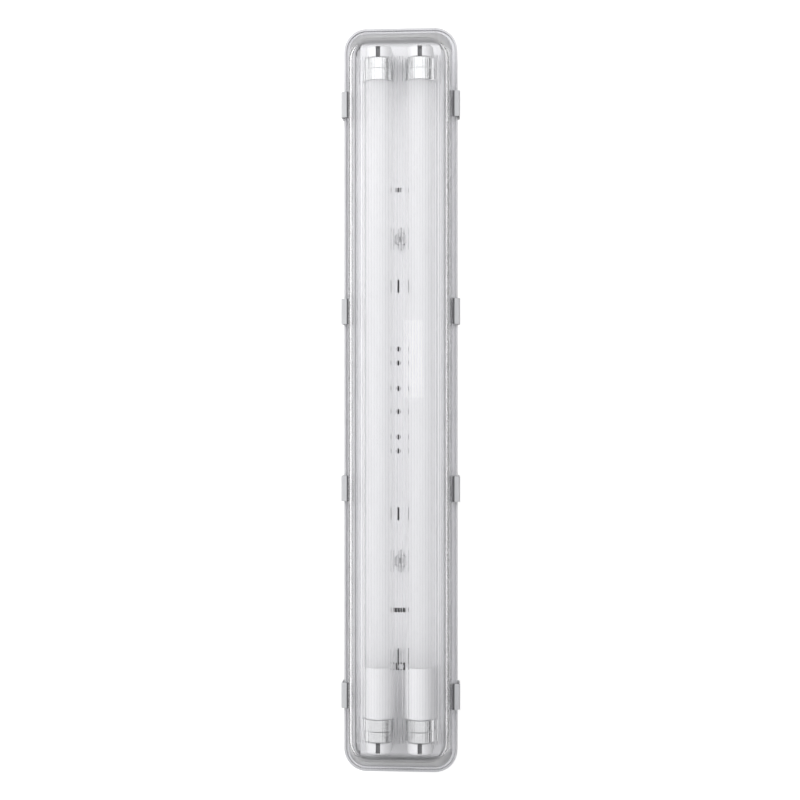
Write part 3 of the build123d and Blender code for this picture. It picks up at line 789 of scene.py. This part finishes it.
class Lathe:
    """Geometry tree that turns a closed profile about a line along Y."""

    def __init__(self) -> None:
        """Build the tree."""
        tree = ShapeTree(
            "lathe",
            {
                "Profile": "NodeSocketGeometry",
                "Segments": "NodeSocketInt",
                "Axis X": "NodeSocketFloat",
                "Axis Z": "NodeSocketFloat",
                "Finish": "NodeSocketMaterial",
            },
        )
        profile, segments = tree.given["Profile"], tree.given["Segments"]
        corners = tree.node("GeometryNodeAttributeDomainSize", {"component": "MESH"}, {0: profile})
        column = corners + 1.0
        counts = {"Vertices X": segments + 1.0, "Vertices Y": column}
        grid = tree.node("GeometryNodeMeshGrid", sockets={"Size X": 1.0, "Size Y": 1.0, **counts})
        index = tree.node("GeometryNodeInputIndex")
        step = (index / column).single("FLOOR")
        corner = (index % column) % corners
        sampling = {"data_type": "FLOAT_VECTOR", "domain": "POINT"}
        position = tree.node("GeometryNodeInputPosition")
        source = {"Geometry": profile, "Value": position, "Index": corner}
        place = tree.node("GeometryNodeSampleIndex", sampling, source)
        radius = tree.coordinate(place, Axis.X)
        turn = math.tau * step / segments
        spot = {
            "X": tree.given["Axis X"] + radius * turn.single("SINE"),
            "Y": tree.coordinate(place, Axis.Y),
            "Z": tree.given["Axis Z"] + radius * turn.single("COSINE"),
        }
        turned = {"Geometry": grid, "Position": tree.node("ShaderNodeCombineXYZ", sockets=spot)}
        skin = tree.node("GeometryNodeSetPosition", sockets=turned)
        tree.deliver(tree.merged(skin))
        self.tree = tree

    def turn(
        self, name: str, profile: Profile, axis: Vector, segments: int, material: bpy.types.Material
    ) -> bpy.types.Object:
        """Turn one piece.

        Args:
            name: Name of the piece.
            profile: Radius and Y of the corners, in order round the profile.
            axis: Point on the axis.
            segments: Steps round the axis.
            material: Its finish.

        Returns:
            The turned piece.
        """
        mesh = bpy.data.meshes.new(name)
        mesh.from_pydata([(radius, along, 0.0) for radius, along in profile], [], [])
        piece = new_object(name, mesh)
        values = {"Segments": segments, "Axis X": axis.x, "Axis Z": axis.z, "Finish": material}
        self.tree.shape(piece, values)
        outward(piece.data)
        smooth(piece)
        return piece


def arc(
    center: Tuple[float, float], radius: float, start: float, end: float, steps: int
) -> Profile:
    """Points on a circular arc.

    Args:
        center: Center of the arc.
        radius: Its radius.
        start: First angle in degrees.
        end: Last angle in degrees.
        steps: Steps between them.

    Returns:
        The points from start to end.
    """
    points = []
    for step in range(steps + 1):
        angle = math.radians(start + (end - start) * step / steps)
        points.append((center[0] + radius * math.cos(angle), center[1] + radius * math.sin(angle)))
    return points


@dataclass(frozen=True)
class Station:
    """One outline of the cover: how far it lies inside the rim, and how high."""

    side_inset: float
    end_inset: float
    corner: float
    side_height: float
    end_height: float


@dataclass
class ClearCover:
    """Clear cover: flange, tongue, leaning shell and lengthwise prisms under its top."""

    flange_gap: float = 0.2 * MM
    flange_thickness: float = 2.0 * MM
    flange_round: float = 0.45 * MM
    wall: float = 2.0 * MM
    wall_inset: float = 5.0 * MM
    foot_round: float = 0.9 * MM
    side_lean: float = 2.2 * MM
    end_lean: float = 13.0 * MM
    rim_corner: float = 20.0 * MM
    top_corner: float = 18.0 * MM
    top_round: float = 6.0 * MM
    tongue_inset: float = 3.3 * MM
    tongue_thickness: float = 1.8 * MM
    prism_pitch: float = 2.45 * MM
    prism_width: float = 0.9 * MM
    prism_depth: float = 0.3 * MM
    prism_half_length: float = 293.9 * MM
    prism_root: float = 0.6 * MM
    stop_offset: float = 13.3 * MM
    stop_size: Point = (3.5 * MM, 2.6 * MM, 1.2 * MM)
    stop_sink: float = 0.4 * MM
    corner_steps: int = 14
    round_steps: int = 6

    def build(self, finishes: "Finishes") -> None:
        """Build the cover and let it stand for its CAD node.

        Args:
            finishes: Materials by slot.
        """
        material = finishes.of("cover")
        self.rim_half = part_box("housing")[1]
        self.low, self.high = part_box("cover")
        self.flange_bottom = self.rim_half.z + self.flange_gap
        self.flange_top = self.flange_bottom + self.flange_thickness
        self.ceiling = self.high.z - self.wall
        cover = new_object("cover_moulding", self.shell())
        stops = new_object("cover_stop_places", self.stop_places())
        self.add_moulding(cover, stops, material)
        bpy.data.objects.remove(stops)
        smooth(cover)
        dress(cover, material, "cover")

    def level(self, inset: float, height: float) -> Station:
        """Outline at one inset from the rim all round and one height."""
        return Station(inset, inset, self.rim_corner - inset, height, height)

    def wall_stations(self, inset: float, top: float, edge_round: float) -> List[Station]:
        """Outlines up a leaning wall and round its top edge.

        Args:
            inset: Inset of the wall's foot.
            top: Height of the flat above the wall.
            edge_round: Radius of the top edge.

        Returns:
            Stations from above the foot to the edge of the flat.
        """
        rise = self.high.z - self.flange_bottom
        share = (top - self.flange_bottom) / rise
        corner = self.top_corner - (inset - self.wall_inset)
        stations = []
        for step in range(self.round_steps + 1):
            part = step / self.round_steps
            places = []
            for lean in (self.side_lean, self.end_lean):
                tilt = math.atan2(lean, rise)
                turn = math.pi / 2.0 - tilt
                tangent = edge_round * math.tan(turn / 2.0)
                angle = tilt + turn * part
                reach = inset + lean * share + tangent - edge_round * math.cos(angle)
                height = top - edge_round + edge_round * math.sin(angle)
                places.append((reach, height, lean * share))
            (side_inset, side_height, side_lean), (end_inset, end_height, end_lean) = places
            loss = (side_inset - inset - side_lean + end_inset - inset - end_lean) / 2.0
            stations.append(Station(side_inset, end_inset, corner - loss, side_height, end_height))
        return stations

    def stations(self) -> List[Station]:
        """Every outline of the shell, in order.

        Returns:
            Stations outside from the flange to the top, then inside back down.
        """
        edge = self.rim_half.x - self.high.x
        curl = self.flange_round
        bottom, top = self.flange_bottom, self.flange_top
        outside = [self.level(edge + curl, bottom), self.level(edge, bottom + curl)]
        for angle in (0.0, 45.0):
            turn = math.radians(angle)
            inset = edge + curl - curl * math.cos(turn)
            outside.append(self.level(inset, top - curl + curl * math.sin(turn)))
        outside.append(self.level(edge + curl, top))
        for angle in (0.0, 30.0, 60.0, 90.0):
            turn = math.radians(angle)
            inset = self.wall_inset - self.foot_round + self.foot_round * math.sin(turn)
            height = top + self.foot_round - self.foot_round * math.cos(turn)
            outside.append(self.level(inset, height))
        outside += self.wall_stations(self.wall_inset, self.high.z, self.top_round)
        inner_inset = self.wall_inset + self.wall
        inside = self.wall_stations(inner_inset, self.ceiling, self.top_round - self.wall)[::-1]
        tongue_end = self.tongue_inset + self.tongue_thickness
        inside += [
            self.level(inner_inset, bottom),
            self.level(tongue_end, bottom),
            self.level(tongue_end, self.low.z),
            self.level(self.tongue_inset, self.low.z),
            self.level(self.tongue_inset, bottom),
        ]
        return outside + inside

    def outline(self, station: Station) -> List[Point]:
        """Points round one station.

        Args:
            station: Outline to follow.

        Returns:
            Points, counter-clockwise from the middle of the right side.
        """
        middle_x = self.rim_half.x - station.side_inset - station.corner
        middle_y = self.rim_half.y - station.end_inset - station.corner
        points = []
        for quarter, (sign_x, sign_y) in enumerate(((1, 1), (-1, 1), (-1, -1), (1, -1))):
            for step in range(self.corner_steps + 1):
                angle = math.pi / 2.0 * (quarter + step / self.corner_steps)
                share = math.sin(angle) ** 2
                height = station.side_height + (station.end_height - station.side_height) * share
                x = sign_x * middle_x + station.corner * math.cos(angle)
                y = sign_y * middle_y + station.corner * math.sin(angle)
                points.append((x, y, height))
        return points

    def shell(self) -> bpy.types.Mesh:
        """Closed shell through every station, with the top and the ceiling filled.

        Returns:
            The shell's mesh.
        """
        stations = self.stations()
        outlines = [self.outline(station) for station in stations]
        count = len(outlines[0])
        top_number = next(
            number for number, station in enumerate(stations) if station.side_height == self.high.z
        )
        points = [point for outline in outlines for point in outline]
        faces = []
        for number in range(len(outlines)):
            if number == top_number:
                continue
            after = (number + 1) % len(outlines)
            for corner in range(count):
                following = (corner + 1) % count
                faces.append(
                    (
                        number * count + corner,
                        number * count + following,
                        after * count + following,
                        after * count + corner,
                    )
                )
        for number in (top_number, top_number + 1):
            faces.append([number * count + corner for corner in range(count)])
        return mesh_of("cover_moulding", points, faces)

    def stop_places(self) -> bpy.types.Mesh:
        """Points for the stops on the flange, two at each latch.

        Returns:
            A mesh of loose points.
        """
        points = []
        reach = self.rim_half.x - self.wall_inset + self.stop_size[0] / 2.0 - self.wall / 2.0
        height = self.flange_top + self.stop_size[2] / 2.0 - self.stop_sink
        for side in Side:
            for number in LATCH_NUMBERS:
                low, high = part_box(f"latch_{side.word}_{number}")
                middle = (low.y + high.y) / 2.0
                for offset in (-self.stop_offset, self.stop_offset):
                    points.append((side.value * reach, middle + offset, height))
        mesh = bpy.data.meshes.new("cover_stop_places")
        mesh.from_pydata(points, [], [])
        return mesh

    def prism_count(self) -> int:
        """Number of prisms that fit on the flat of the ceiling."""
        ceiling_half = self.rim_half.x - self.wall_inset - self.wall - self.side_lean
        return int(2.0 * (ceiling_half - (self.top_round - self.wall)) / self.prism_pitch)

    def add_moulding(
        self, cover: bpy.types.Object, stops: bpy.types.Object, material: bpy.types.Material
    ) -> None:
        """Unite the shell with its prisms and stops by geometry nodes.

        Args:
            cover: Object with the bare shell.
            stops: Object with a point for each stop.
            material: Clear plastic.
        """
        tree = ShapeTree(
            "cover_moulding",
            {
                "Shell": "NodeSocketGeometry",
                "Stop Places": "NodeSocketObject",
                "Prism Count": "NodeSocketInt",
                "Prism Pitch": "NodeSocketFloat",
                "Prism Length": "NodeSocketFloat",
                "Tip Height": "NodeSocketFloat",
                "Valley Rise": "NodeSocketFloat",
                "Finish": "NodeSocketMaterial",
            },
        )
        prisms = self.prism_nodes(tree)
        info = {"Object": tree.given["Stop Places"]}
        places = tree.node("GeometryNodeObjectInfo", sockets=info, output="Geometry")
        block = tree.node("GeometryNodeMeshCube", sockets={"Size": self.stop_size})
        repeat = {"Points": places, "Instance": block}
        row = tree.node("GeometryNodeInstanceOnPoints", sockets=repeat)
        blocks = tree.node("GeometryNodeRealizeInstances", sockets={0: row})
        solver = {"operation": "UNION", "solver": "EXACT"}
        solids = [tree.given["Shell"], prisms, blocks]
        tree.deliver(tree.node("GeometryNodeMeshBoolean", solver, {1: solids}))
        tree.shape(
            cover,
            {
                "Stop Places": stops,
                "Prism Count": self.prism_count(),
                "Prism Pitch": self.prism_pitch,
                "Prism Length": 2.0 * self.prism_half_length,
                "Tip Height": self.ceiling - self.prism_depth,
                "Valley Rise": self.prism_depth * self.prism_pitch / self.prism_width,
                "Finish": material,
            },
        )

    def prism_nodes(self, tree: ShapeTree) -> Value:
        """Nodes of the bar of prisms, sunk so far into the top that flats stay between them.

        Args:
            tree: Tree with the prisms' named inputs.

        Returns:
            The closed bar as a mesh.
        """
        pitch, count = tree.given["Prism Pitch"], tree.given["Prism Count"]
        width = count * pitch
        sizes = {"Size X": width, "Size Y": tree.given["Prism Length"]}
        counts = {"Vertices X": count * 2.0 + 1.0, "Vertices Y": 2}
        grid = tree.node("GeometryNodeMeshGrid", sockets={**sizes, **counts})
        across = tree.coordinate(tree.node("GeometryNodeInputPosition"), Axis.X)
        step = ((across + width * 0.5) / (pitch * 0.5)).single("ROUND")
        height = tree.given["Tip Height"] + tree.given["Valley Rise"] * (1.0 - step % 2.0)
        lift = tree.node("ShaderNodeCombineXYZ", sockets={"Z": height})
        zigzag = tree.node("GeometryNodeSetPosition", sockets={"Geometry": grid, "Offset": lift})
        up = {"Offset": (0.0, 0.0, 1.0), "Offset Scale": self.prism_root, "Individual": False}
        roots = tree.node("GeometryNodeExtrudeMesh", {"mode": "FACES"}, {"Mesh": zigzag, **up})
        tips = tree.node("GeometryNodeFlipFaces", sockets={0: zigzag})
        return tree.merged(tree.node("GeometryNodeJoinGeometry", sockets={0: [tips, roots]}))


@dataclass
class TubeLamp:
    """Tube lamp: milky glass, two stepped caps and a plain sleeve beside the feed cap."""

    side: Side
    lathe: Lathe
    cap_sheet: float = 0.5 * MM
    nose_length: float = 9.2 * MM
    nose_step: float = 0.9 * MM
    edge_round: float = 0.9 * MM
    rim_round: float = 0.3 * MM
    mouth_radius: float = 9.0 * MM
    glass_wall: float = 0.9 * MM
    small_edge: float = 0.12 * MM
    edge_steps: int = 5
    rim_steps: int = 3
    segments: int = 96

    @property
    def body(self) -> str:
        """CAD body of the lamp."""
        return f"lamp_{self.side.word}"

    def build(self, finishes: "Finishes") -> None:
        """Build the turned pieces and finish those inside, which leave soft light alone.

        Args:
            finishes: Materials by slot.
        """
        low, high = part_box(f"{self.body}_glass")
        axis = (low + high) / 2.0
        radius = (high.x - low.x) / 2.0
        bore = radius - self.glass_wall
        profiles = {"glass": [(radius, low.y), (radius, high.y), (bore, high.y), (bore, low.y)]}
        for end in End:
            profiles[f"{end.word}_cap"] = self.cap_profile(end)
        low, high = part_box(f"{self.body}_sleeve")
        outer = (high.x - low.x) / 2.0
        profiles["sleeve"] = [(radius, low.y), (outer, low.y), (outer, high.y), (radius, high.y)]
        for piece_name, profile in profiles.items():
            node = f"{self.body}_{piece_name}"
            material = finishes.of(node)
            piece = self.lathe.turn(f"{node}_finished", profile, axis, self.segments, material)
            dress(piece, material, node)
        for piece_name in ("pin_discs", "pins", "led_board", "leds", "driver"):
            inner = edged(f"{self.body}_{piece_name}", self.small_edge, finishes)
            inner.visible_diffuse = False

    def cap_profile(self, end: End) -> Profile:
        """Profile of a stepped cap with rolled edges.

        Args:
            end: End of the lamp.

        Returns:
            Radius and Y of the corners.
        """
        low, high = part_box(f"{self.body}_{end.word}_cap")
        cap = (high.x - low.x) / 2.0
        length = high.y - low.y
        nose = cap - self.nose_step
        sheet, curl = self.cap_sheet, self.rim_round
        depths = [(self.mouth_radius, 0.0)]
        edge = self.edge_round
        depths += arc((nose - edge, edge), edge, -90.0, 0.0, self.edge_steps)
        depths.append((nose, self.nose_length))
        shoulder = self.nose_length + self.nose_step
        depths += arc((cap - curl, shoulder), curl, -60.0, 0.0, self.rim_steps)
        depths += arc((cap - curl, length - curl), curl, 0.0, 90.0, self.rim_steps)
        depths += [
            (cap - sheet, length),
            (cap - sheet, shoulder),
            (nose - sheet, shoulder - sheet),
            (nose - sheet, edge),
            (self.mouth_radius, edge),
        ]
        face = high.y if end is End.FAR else low.y
        return [(radius, face - end.value * depth) for radius, depth in depths]


class SubAssembly:
    """Pieces that stand for their CAD nodes with softened edges."""

    def edges(self) -> Dict[str, float]:
        """Width of the softened edges of each CAD node."""
        raise NotImplementedError

    def build(self, finishes: "Finishes") -> None:
        """Finish every piece with the material of its slot."""
        for node, edge in self.edges().items():
            edged(node, edge, finishes)


@dataclass
class Enclosure(SubAssembly):
    """Housing with its gasket, entry seal and mounting brackets."""

    moulded_edge: float = 0.4 * MM
    foam_edge: float = 0.5 * MM
    sheet_edge: float = 0.15 * MM

    def edges(self) -> Dict[str, float]:
        """Width of the softened edges.

        Returns:
            Width by CAD node.
        """
        return {
            "housing": self.moulded_edge,
            "gasket": self.foam_edge,
            "entry_seal": self.moulded_edge,
            **{f"bracket_{end.word}": self.sheet_edge for end in End},
        }


@dataclass
class LatchRow(SubAssembly):
    """Snap latches along one side."""

    side: Side
    edge: float = 0.3 * MM

    def edges(self) -> Dict[str, float]:
        """Width of the softened edges of each CAD node."""
        return {f"latch_{self.side.word}_{number}": self.edge for number in LATCH_NUMBERS}


@dataclass
class LampholderPair(SubAssembly):
    """Lampholders of one lamp with their rotors and contact leaves."""

    side: Side
    edge: float = 0.35 * MM
    small_edge: float = 0.12 * MM

    def edges(self) -> Dict[str, float]:
        """Width of the softened edges.

        Returns:
            Width by CAD node.
        """
        widths = {}
        for end in End:
            widths[f"lampholder_{self.side.word}_{end.word}"] = self.edge
            widths[f"rotor_{self.side.word}_{end.word}"] = self.small_edge
        widths[f"contact_leaves_{self.side.word}"] = self.small_edge
        return widths


@dataclass
class GearTray(SubAssembly):
    """Punched tray with its turn fasteners and earth tab."""

    sheet_edge: float = 0.15 * MM
    fastener_edge: float = 0.3 * MM

    def edges(self) -> Dict[str, float]:
        """Width of the softened edges.

        Returns:
            Width by CAD node.
        """
        return {
            "gear_tray": self.sheet_edge,
            **{f"tray_fastener_{end.word}": self.fastener_edge for end in End},
            "earth_tab": self.sheet_edge,
            "earth_rivet": self.sheet_edge,
        }


@dataclass
class Supply(SubAssembly):
    """Terminal block, cord clamp and the fixture's own wires."""

    block_edge: float = 0.3 * MM
    small_edge: float = 0.12 * MM

    def edges(self) -> Dict[str, float]:
        """Width of the softened edges.

        Returns:
            Width by CAD node.
        """
        blocks = ("terminal_block", "cord_clamp")
        small = ("terminal_screws", "clamp_screws", "live_wires", "neutral_wires", "earth_wire")
        return {**dict.fromkeys(blocks, self.block_edge), **dict.fromkeys(small, self.small_edge)}


class Finishes:
    """Materials of the fixture by the CAD's material slots."""

    def __init__(self) -> None:
        """Build a material for each slot."""
        cap_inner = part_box("lamp_left_far_cap")[0].y
        round_lines, cross_lines = (0.05, 1.0, 0.05), (1.0, 0.05, 0.05)
        looks = (
            MouldedPlastic("housing_grey", (0.63, 0.63, 0.64), 0.45),
            ClearPlastic("cover_clear", (0.99, 0.99, 0.995), (0.965, 0.965, 0.972)),
            MouldedPlastic("gasket_foam", (0.88, 0.88, 0.885), 0.75, 0.8 * MM, 0.05 * MM),
            LippedPlastic("latch_grey", (0.56, 0.565, 0.575), 0.36, contrast=0.03),
            EnamelledSheet("tray_white", (0.965, 0.965, 0.975), end_shade=0.82),
            FrostedGlass("lamp_glass", (0.9, 0.9, 0.925), (0.85, 0.85, 0.88), cap_inner),
            DrawnMetal(
                "cap_aluminium", (0.81, 0.815, 0.82), 0.26, round_lines, relief=0.0006 * MM
            ),
            DrawnMetal("pin_brass", (0.78, 0.6, 0.32), 0.25),
            MouldedPlastic("disc_insulator", (0.55, 0.5, 0.42), 0.5),
            MouldedPlastic("sleeve_white", (0.82, 0.82, 0.825), 0.4, contrast=0.01),
            EnamelledSheet("board_white", (0.82, 0.83, 0.82), 0.4),
            MouldedPlastic("led_yellow", (0.85, 0.66, 0.12), 0.3, contrast=0.03),
            MouldedPlastic("driver_green", (0.05, 0.22, 0.09), 0.4),
            MouldedPlastic("holder_white", (0.86, 0.86, 0.865), 0.38, contrast=0.02),
            # Painted shade: the rotor is made dark for the shade deep in each holder's slot.
            MouldedPlastic("rotor_grey", (0.2, 0.2, 0.205), 0.42),
            DrawnMetal("leaf_bronze", (0.72, 0.5, 0.32), 0.3),
            MouldedPlastic("fastener_grey", (0.6, 0.6, 0.61), 0.42),
            MouldedPlastic("terminal_white", (0.8, 0.79, 0.75), 0.42),
            DrawnMetal("screw_steel", (0.66, 0.66, 0.67), 0.3),
            MouldedPlastic("wire_brown", (0.13, 0.055, 0.025), 0.4),
            MouldedPlastic("wire_blue", (0.03, 0.09, 0.4), 0.4),
            MouldedPlastic("wire_green", (0.2, 0.42, 0.04), 0.4),
            # Painted shade: the tinned earth tab is made almost black for its shadow.
            DrawnMetal("tab_tin", (0.06, 0.06, 0.064), 0.35),
            MouldedPlastic("seal_rubber", (0.06, 0.06, 0.062), 0.6),
            DrawnMetal("bracket_steel", (0.63, 0.63, 0.64), 0.28, cross_lines),
        )
        self.materials = {look.name: look.material() for look in looks}

    def of(self, node: str) -> bpy.types.Material:
        """Material of a CAD node, by its slot."""
        return self.materials[NODE_SLOTS[node]]


@dataclass(frozen=True)
class SoftLamp:
    """Soft rectangular lamp of the studio."""

    name: str
    place: Point
    target: Point
    width: float
    height: float
    power: float
    mirrored: bool = True

    def build(self) -> None:
        """Place the lamp and aim it."""
        data = bpy.data.lights.new(self.name, "AREA")
        data.shape = "RECTANGLE"
        data.size = self.width
        data.size_y = self.height
        data.energy = self.power
        holder = bpy.data.objects.new(self.name, data)
        holder.location = self.place
        aim = Vector(self.target) - Vector(self.place)
        holder.rotation_mode = "QUATERNION"
        holder.rotation_quaternion = aim.to_track_quat("-Z", "Y")
        holder.visible_glossy = self.mirrored
        holder.visible_transmission = self.mirrored
        bpy.context.scene.collection.objects.link(holder)


def mottled(surface: Surface, color: Color, shade: float) -> Value:
    """Color of a sheet in the studio, with faint darker patches."""
    return surface.mix(surface.noise(MOTTLE_SIZE), shaded(color, shade), color)


def glowing(surface: Surface, tone: Value, glow: Dict[str, Any]) -> bpy.types.Material:
    """Finish a matt sheet that glows.

    Args:
        surface: Material under construction.
        tone: Color of the sheet.
        glow: Sockets of its glow.

    Returns:
        The finished material.
    """
    matt = surface.node("ShaderNodeBsdfDiffuse", sockets={"Color": tone})
    light = surface.node("ShaderNodeEmission", sockets=glow)
    return surface.shown(surface.node("ShaderNodeAddShader", sockets={0: matt, 1: light}))


@dataclass(frozen=True)
class Card:
    """Dark or glowing card that shapes reflections, out of the camera's sight."""

    name: str
    foot: Point
    half_width: Point
    height: Point
    color: Color
    glow: float = 0.0
    mirrored: bool = True
    shade: float = 0.95

    def build(self) -> None:
        """Put up the card."""
        foot, half, height = Vector(self.foot), Vector(self.half_width), Vector(self.height)
        corners = [foot - half, foot + half, foot + half + height, foot - half + height]
        card = new_object(self.name, mesh_of(self.name, corners, [(0, 1, 2, 3)]))
        surface = Surface(self.name)
        tone = mottled(surface, self.color, self.shade)
        glow = {"Color": tone, "Strength": self.glow}
        card.data.materials.append(glowing(surface, tone, glow))
        card.visible_camera = False
        card.visible_glossy = self.mirrored


@dataclass
class Studio:
    """Pale floor, soft lamps and the camera above the fixture's face."""

    camera_place: Point = (67.0 * MM, 0.0, 1194.0 * MM)
    aim_height: float = 69.2 * MM
    aim_across: float = 1.1 * MM
    lens: float = 59.08
    sensor: float = 36.0
    floor_half: float = 4.0
    floor_color: Color = (0.5, 0.5, 0.5)
    floor_shade: float = 0.98
    floor_glow: float = 0.76
    sky_light: float = 1.0
    cards: Tuple[Card, ...] = (
        Card("right_card", (0.9, -0.3, 0.0), (0.0, 1.0, 0.0), (0.0, 0.0, 0.65), DARK_CARD),
        Card("far_roof", (0.0, 0.35, 1.6), (2.2, 0.0, 0.0), (0.0, 1.3, 0.0), WHITE, 0.9, False),
        Card("feed_roof", (0.0, -1.1, 1.6), (1.2, 0.0, 0.0), (0.0, -1.2, 0.0), GREY_CARD, 0.4),
        Card("feed_card", (0.0, -1.1, 0.0), (0.9, 0.0, 0.0), (0.0, 0.0, 0.65), DARK_CARD),
    )
    lamps: Tuple[SoftLamp, ...] = (
        SoftLamp("key_lamp", (-1.0, 0.95, 1.5), (0.0, 0.0, 0.05), 1.1, 1.1, 16.0, mirrored=False),
        SoftLamp(
            "window_lamp", (-0.0945, 0.105, 2.31), (-0.0945, 0.105, 0.0), 0.051, 0.198, 0.065
        ),
    )

    def build(self) -> None:
        """Build the floor, the light and the camera."""
        bpy.context.scene.view_settings.view_transform = "Standard"
        self.build_floor()
        for card in self.cards:
            card.build()
        self.build_sky()
        for lamp in self.lamps:
            lamp.build()
        self.build_camera()

    @staticmethod
    def seen(graph: Graph) -> Value:
        """Share of rays that look at the background by eye, mirror or glass.

        Args:
            graph: Shader graph.

        Returns:
            1 for such rays and 0 for the rest.
        """
        seen = graph.share(Ray.CAMERA)
        for ray in (Ray.GLOSSY, Ray.TRANSMISSION):
            seen = seen.math("MAXIMUM", seen, graph.share(ray))
        return seen

    def build_floor(self) -> None:
        """Lay a pale floor that shows white and keeps a faint shadow."""
        reach = self.floor_half
        turns = ((-1, -1), (1, -1), (1, 1), (-1, 1))
        corners = [(reach * sign_x, reach * sign_y, 0.0) for sign_x, sign_y in turns]
        floor = new_object("floor", mesh_of("floor", corners, [(0, 1, 2, 3)]))
        surface = Surface("pale_floor")
        tone = mottled(surface, self.floor_color, self.floor_shade)
        glow = {"Strength": self.seen(surface) * self.floor_glow}
        floor.data.materials.append(glowing(surface, tone, glow))

    def build_sky(self) -> None:
        """Light the scene evenly from a white surround."""
        world = bpy.data.worlds.new("white_surround")
        world.use_nodes = True
        world.node_tree.nodes.clear()
        graph = Graph(world.node_tree)
        light = {"Color": (*WHITE, 1.0), "Strength": self.sky_light}
        sky = graph.node("ShaderNodeBackground", sockets=light)
        graph.node("ShaderNodeOutputWorld", sockets={"Surface": sky})
        world.cycles.sampling_method = "NONE"
        bpy.context.scene.world = world

    def build_camera(self) -> None:
        """Hang the camera over the fixture, with the far end up in the picture."""
        data = bpy.data.cameras.new("camera")
        data.lens = self.lens
        data.sensor_width = self.sensor
        camera = bpy.data.objects.new("camera", data)
        camera.location = self.camera_place
        across, _, height = self.camera_place
        lean = math.atan2(across - self.aim_across, height - self.aim_height)
        camera.rotation_euler = (0.0, lean, 0.0)
        bpy.context.scene.collection.objects.link(camera)
        bpy.context.scene.camera = camera


def main() -> None:
    """Build the fixture's pieces in order, then the studio."""
    logging.basicConfig(level=logging.INFO, format="%(message)s")
    finishes = Finishes()
    lathe = Lathe()
    ClearCover().build(finishes)
    Enclosure().build(finishes)
    GearTray().build(finishes)
    Supply().build(finishes)
    for side in Side:
        TubeLamp(side, lathe).build(finishes)
        LampholderPair(side).build(finishes)
        LatchRow(side).build(finishes)
    Studio().build()


if __name__ == "__main__":
    main()
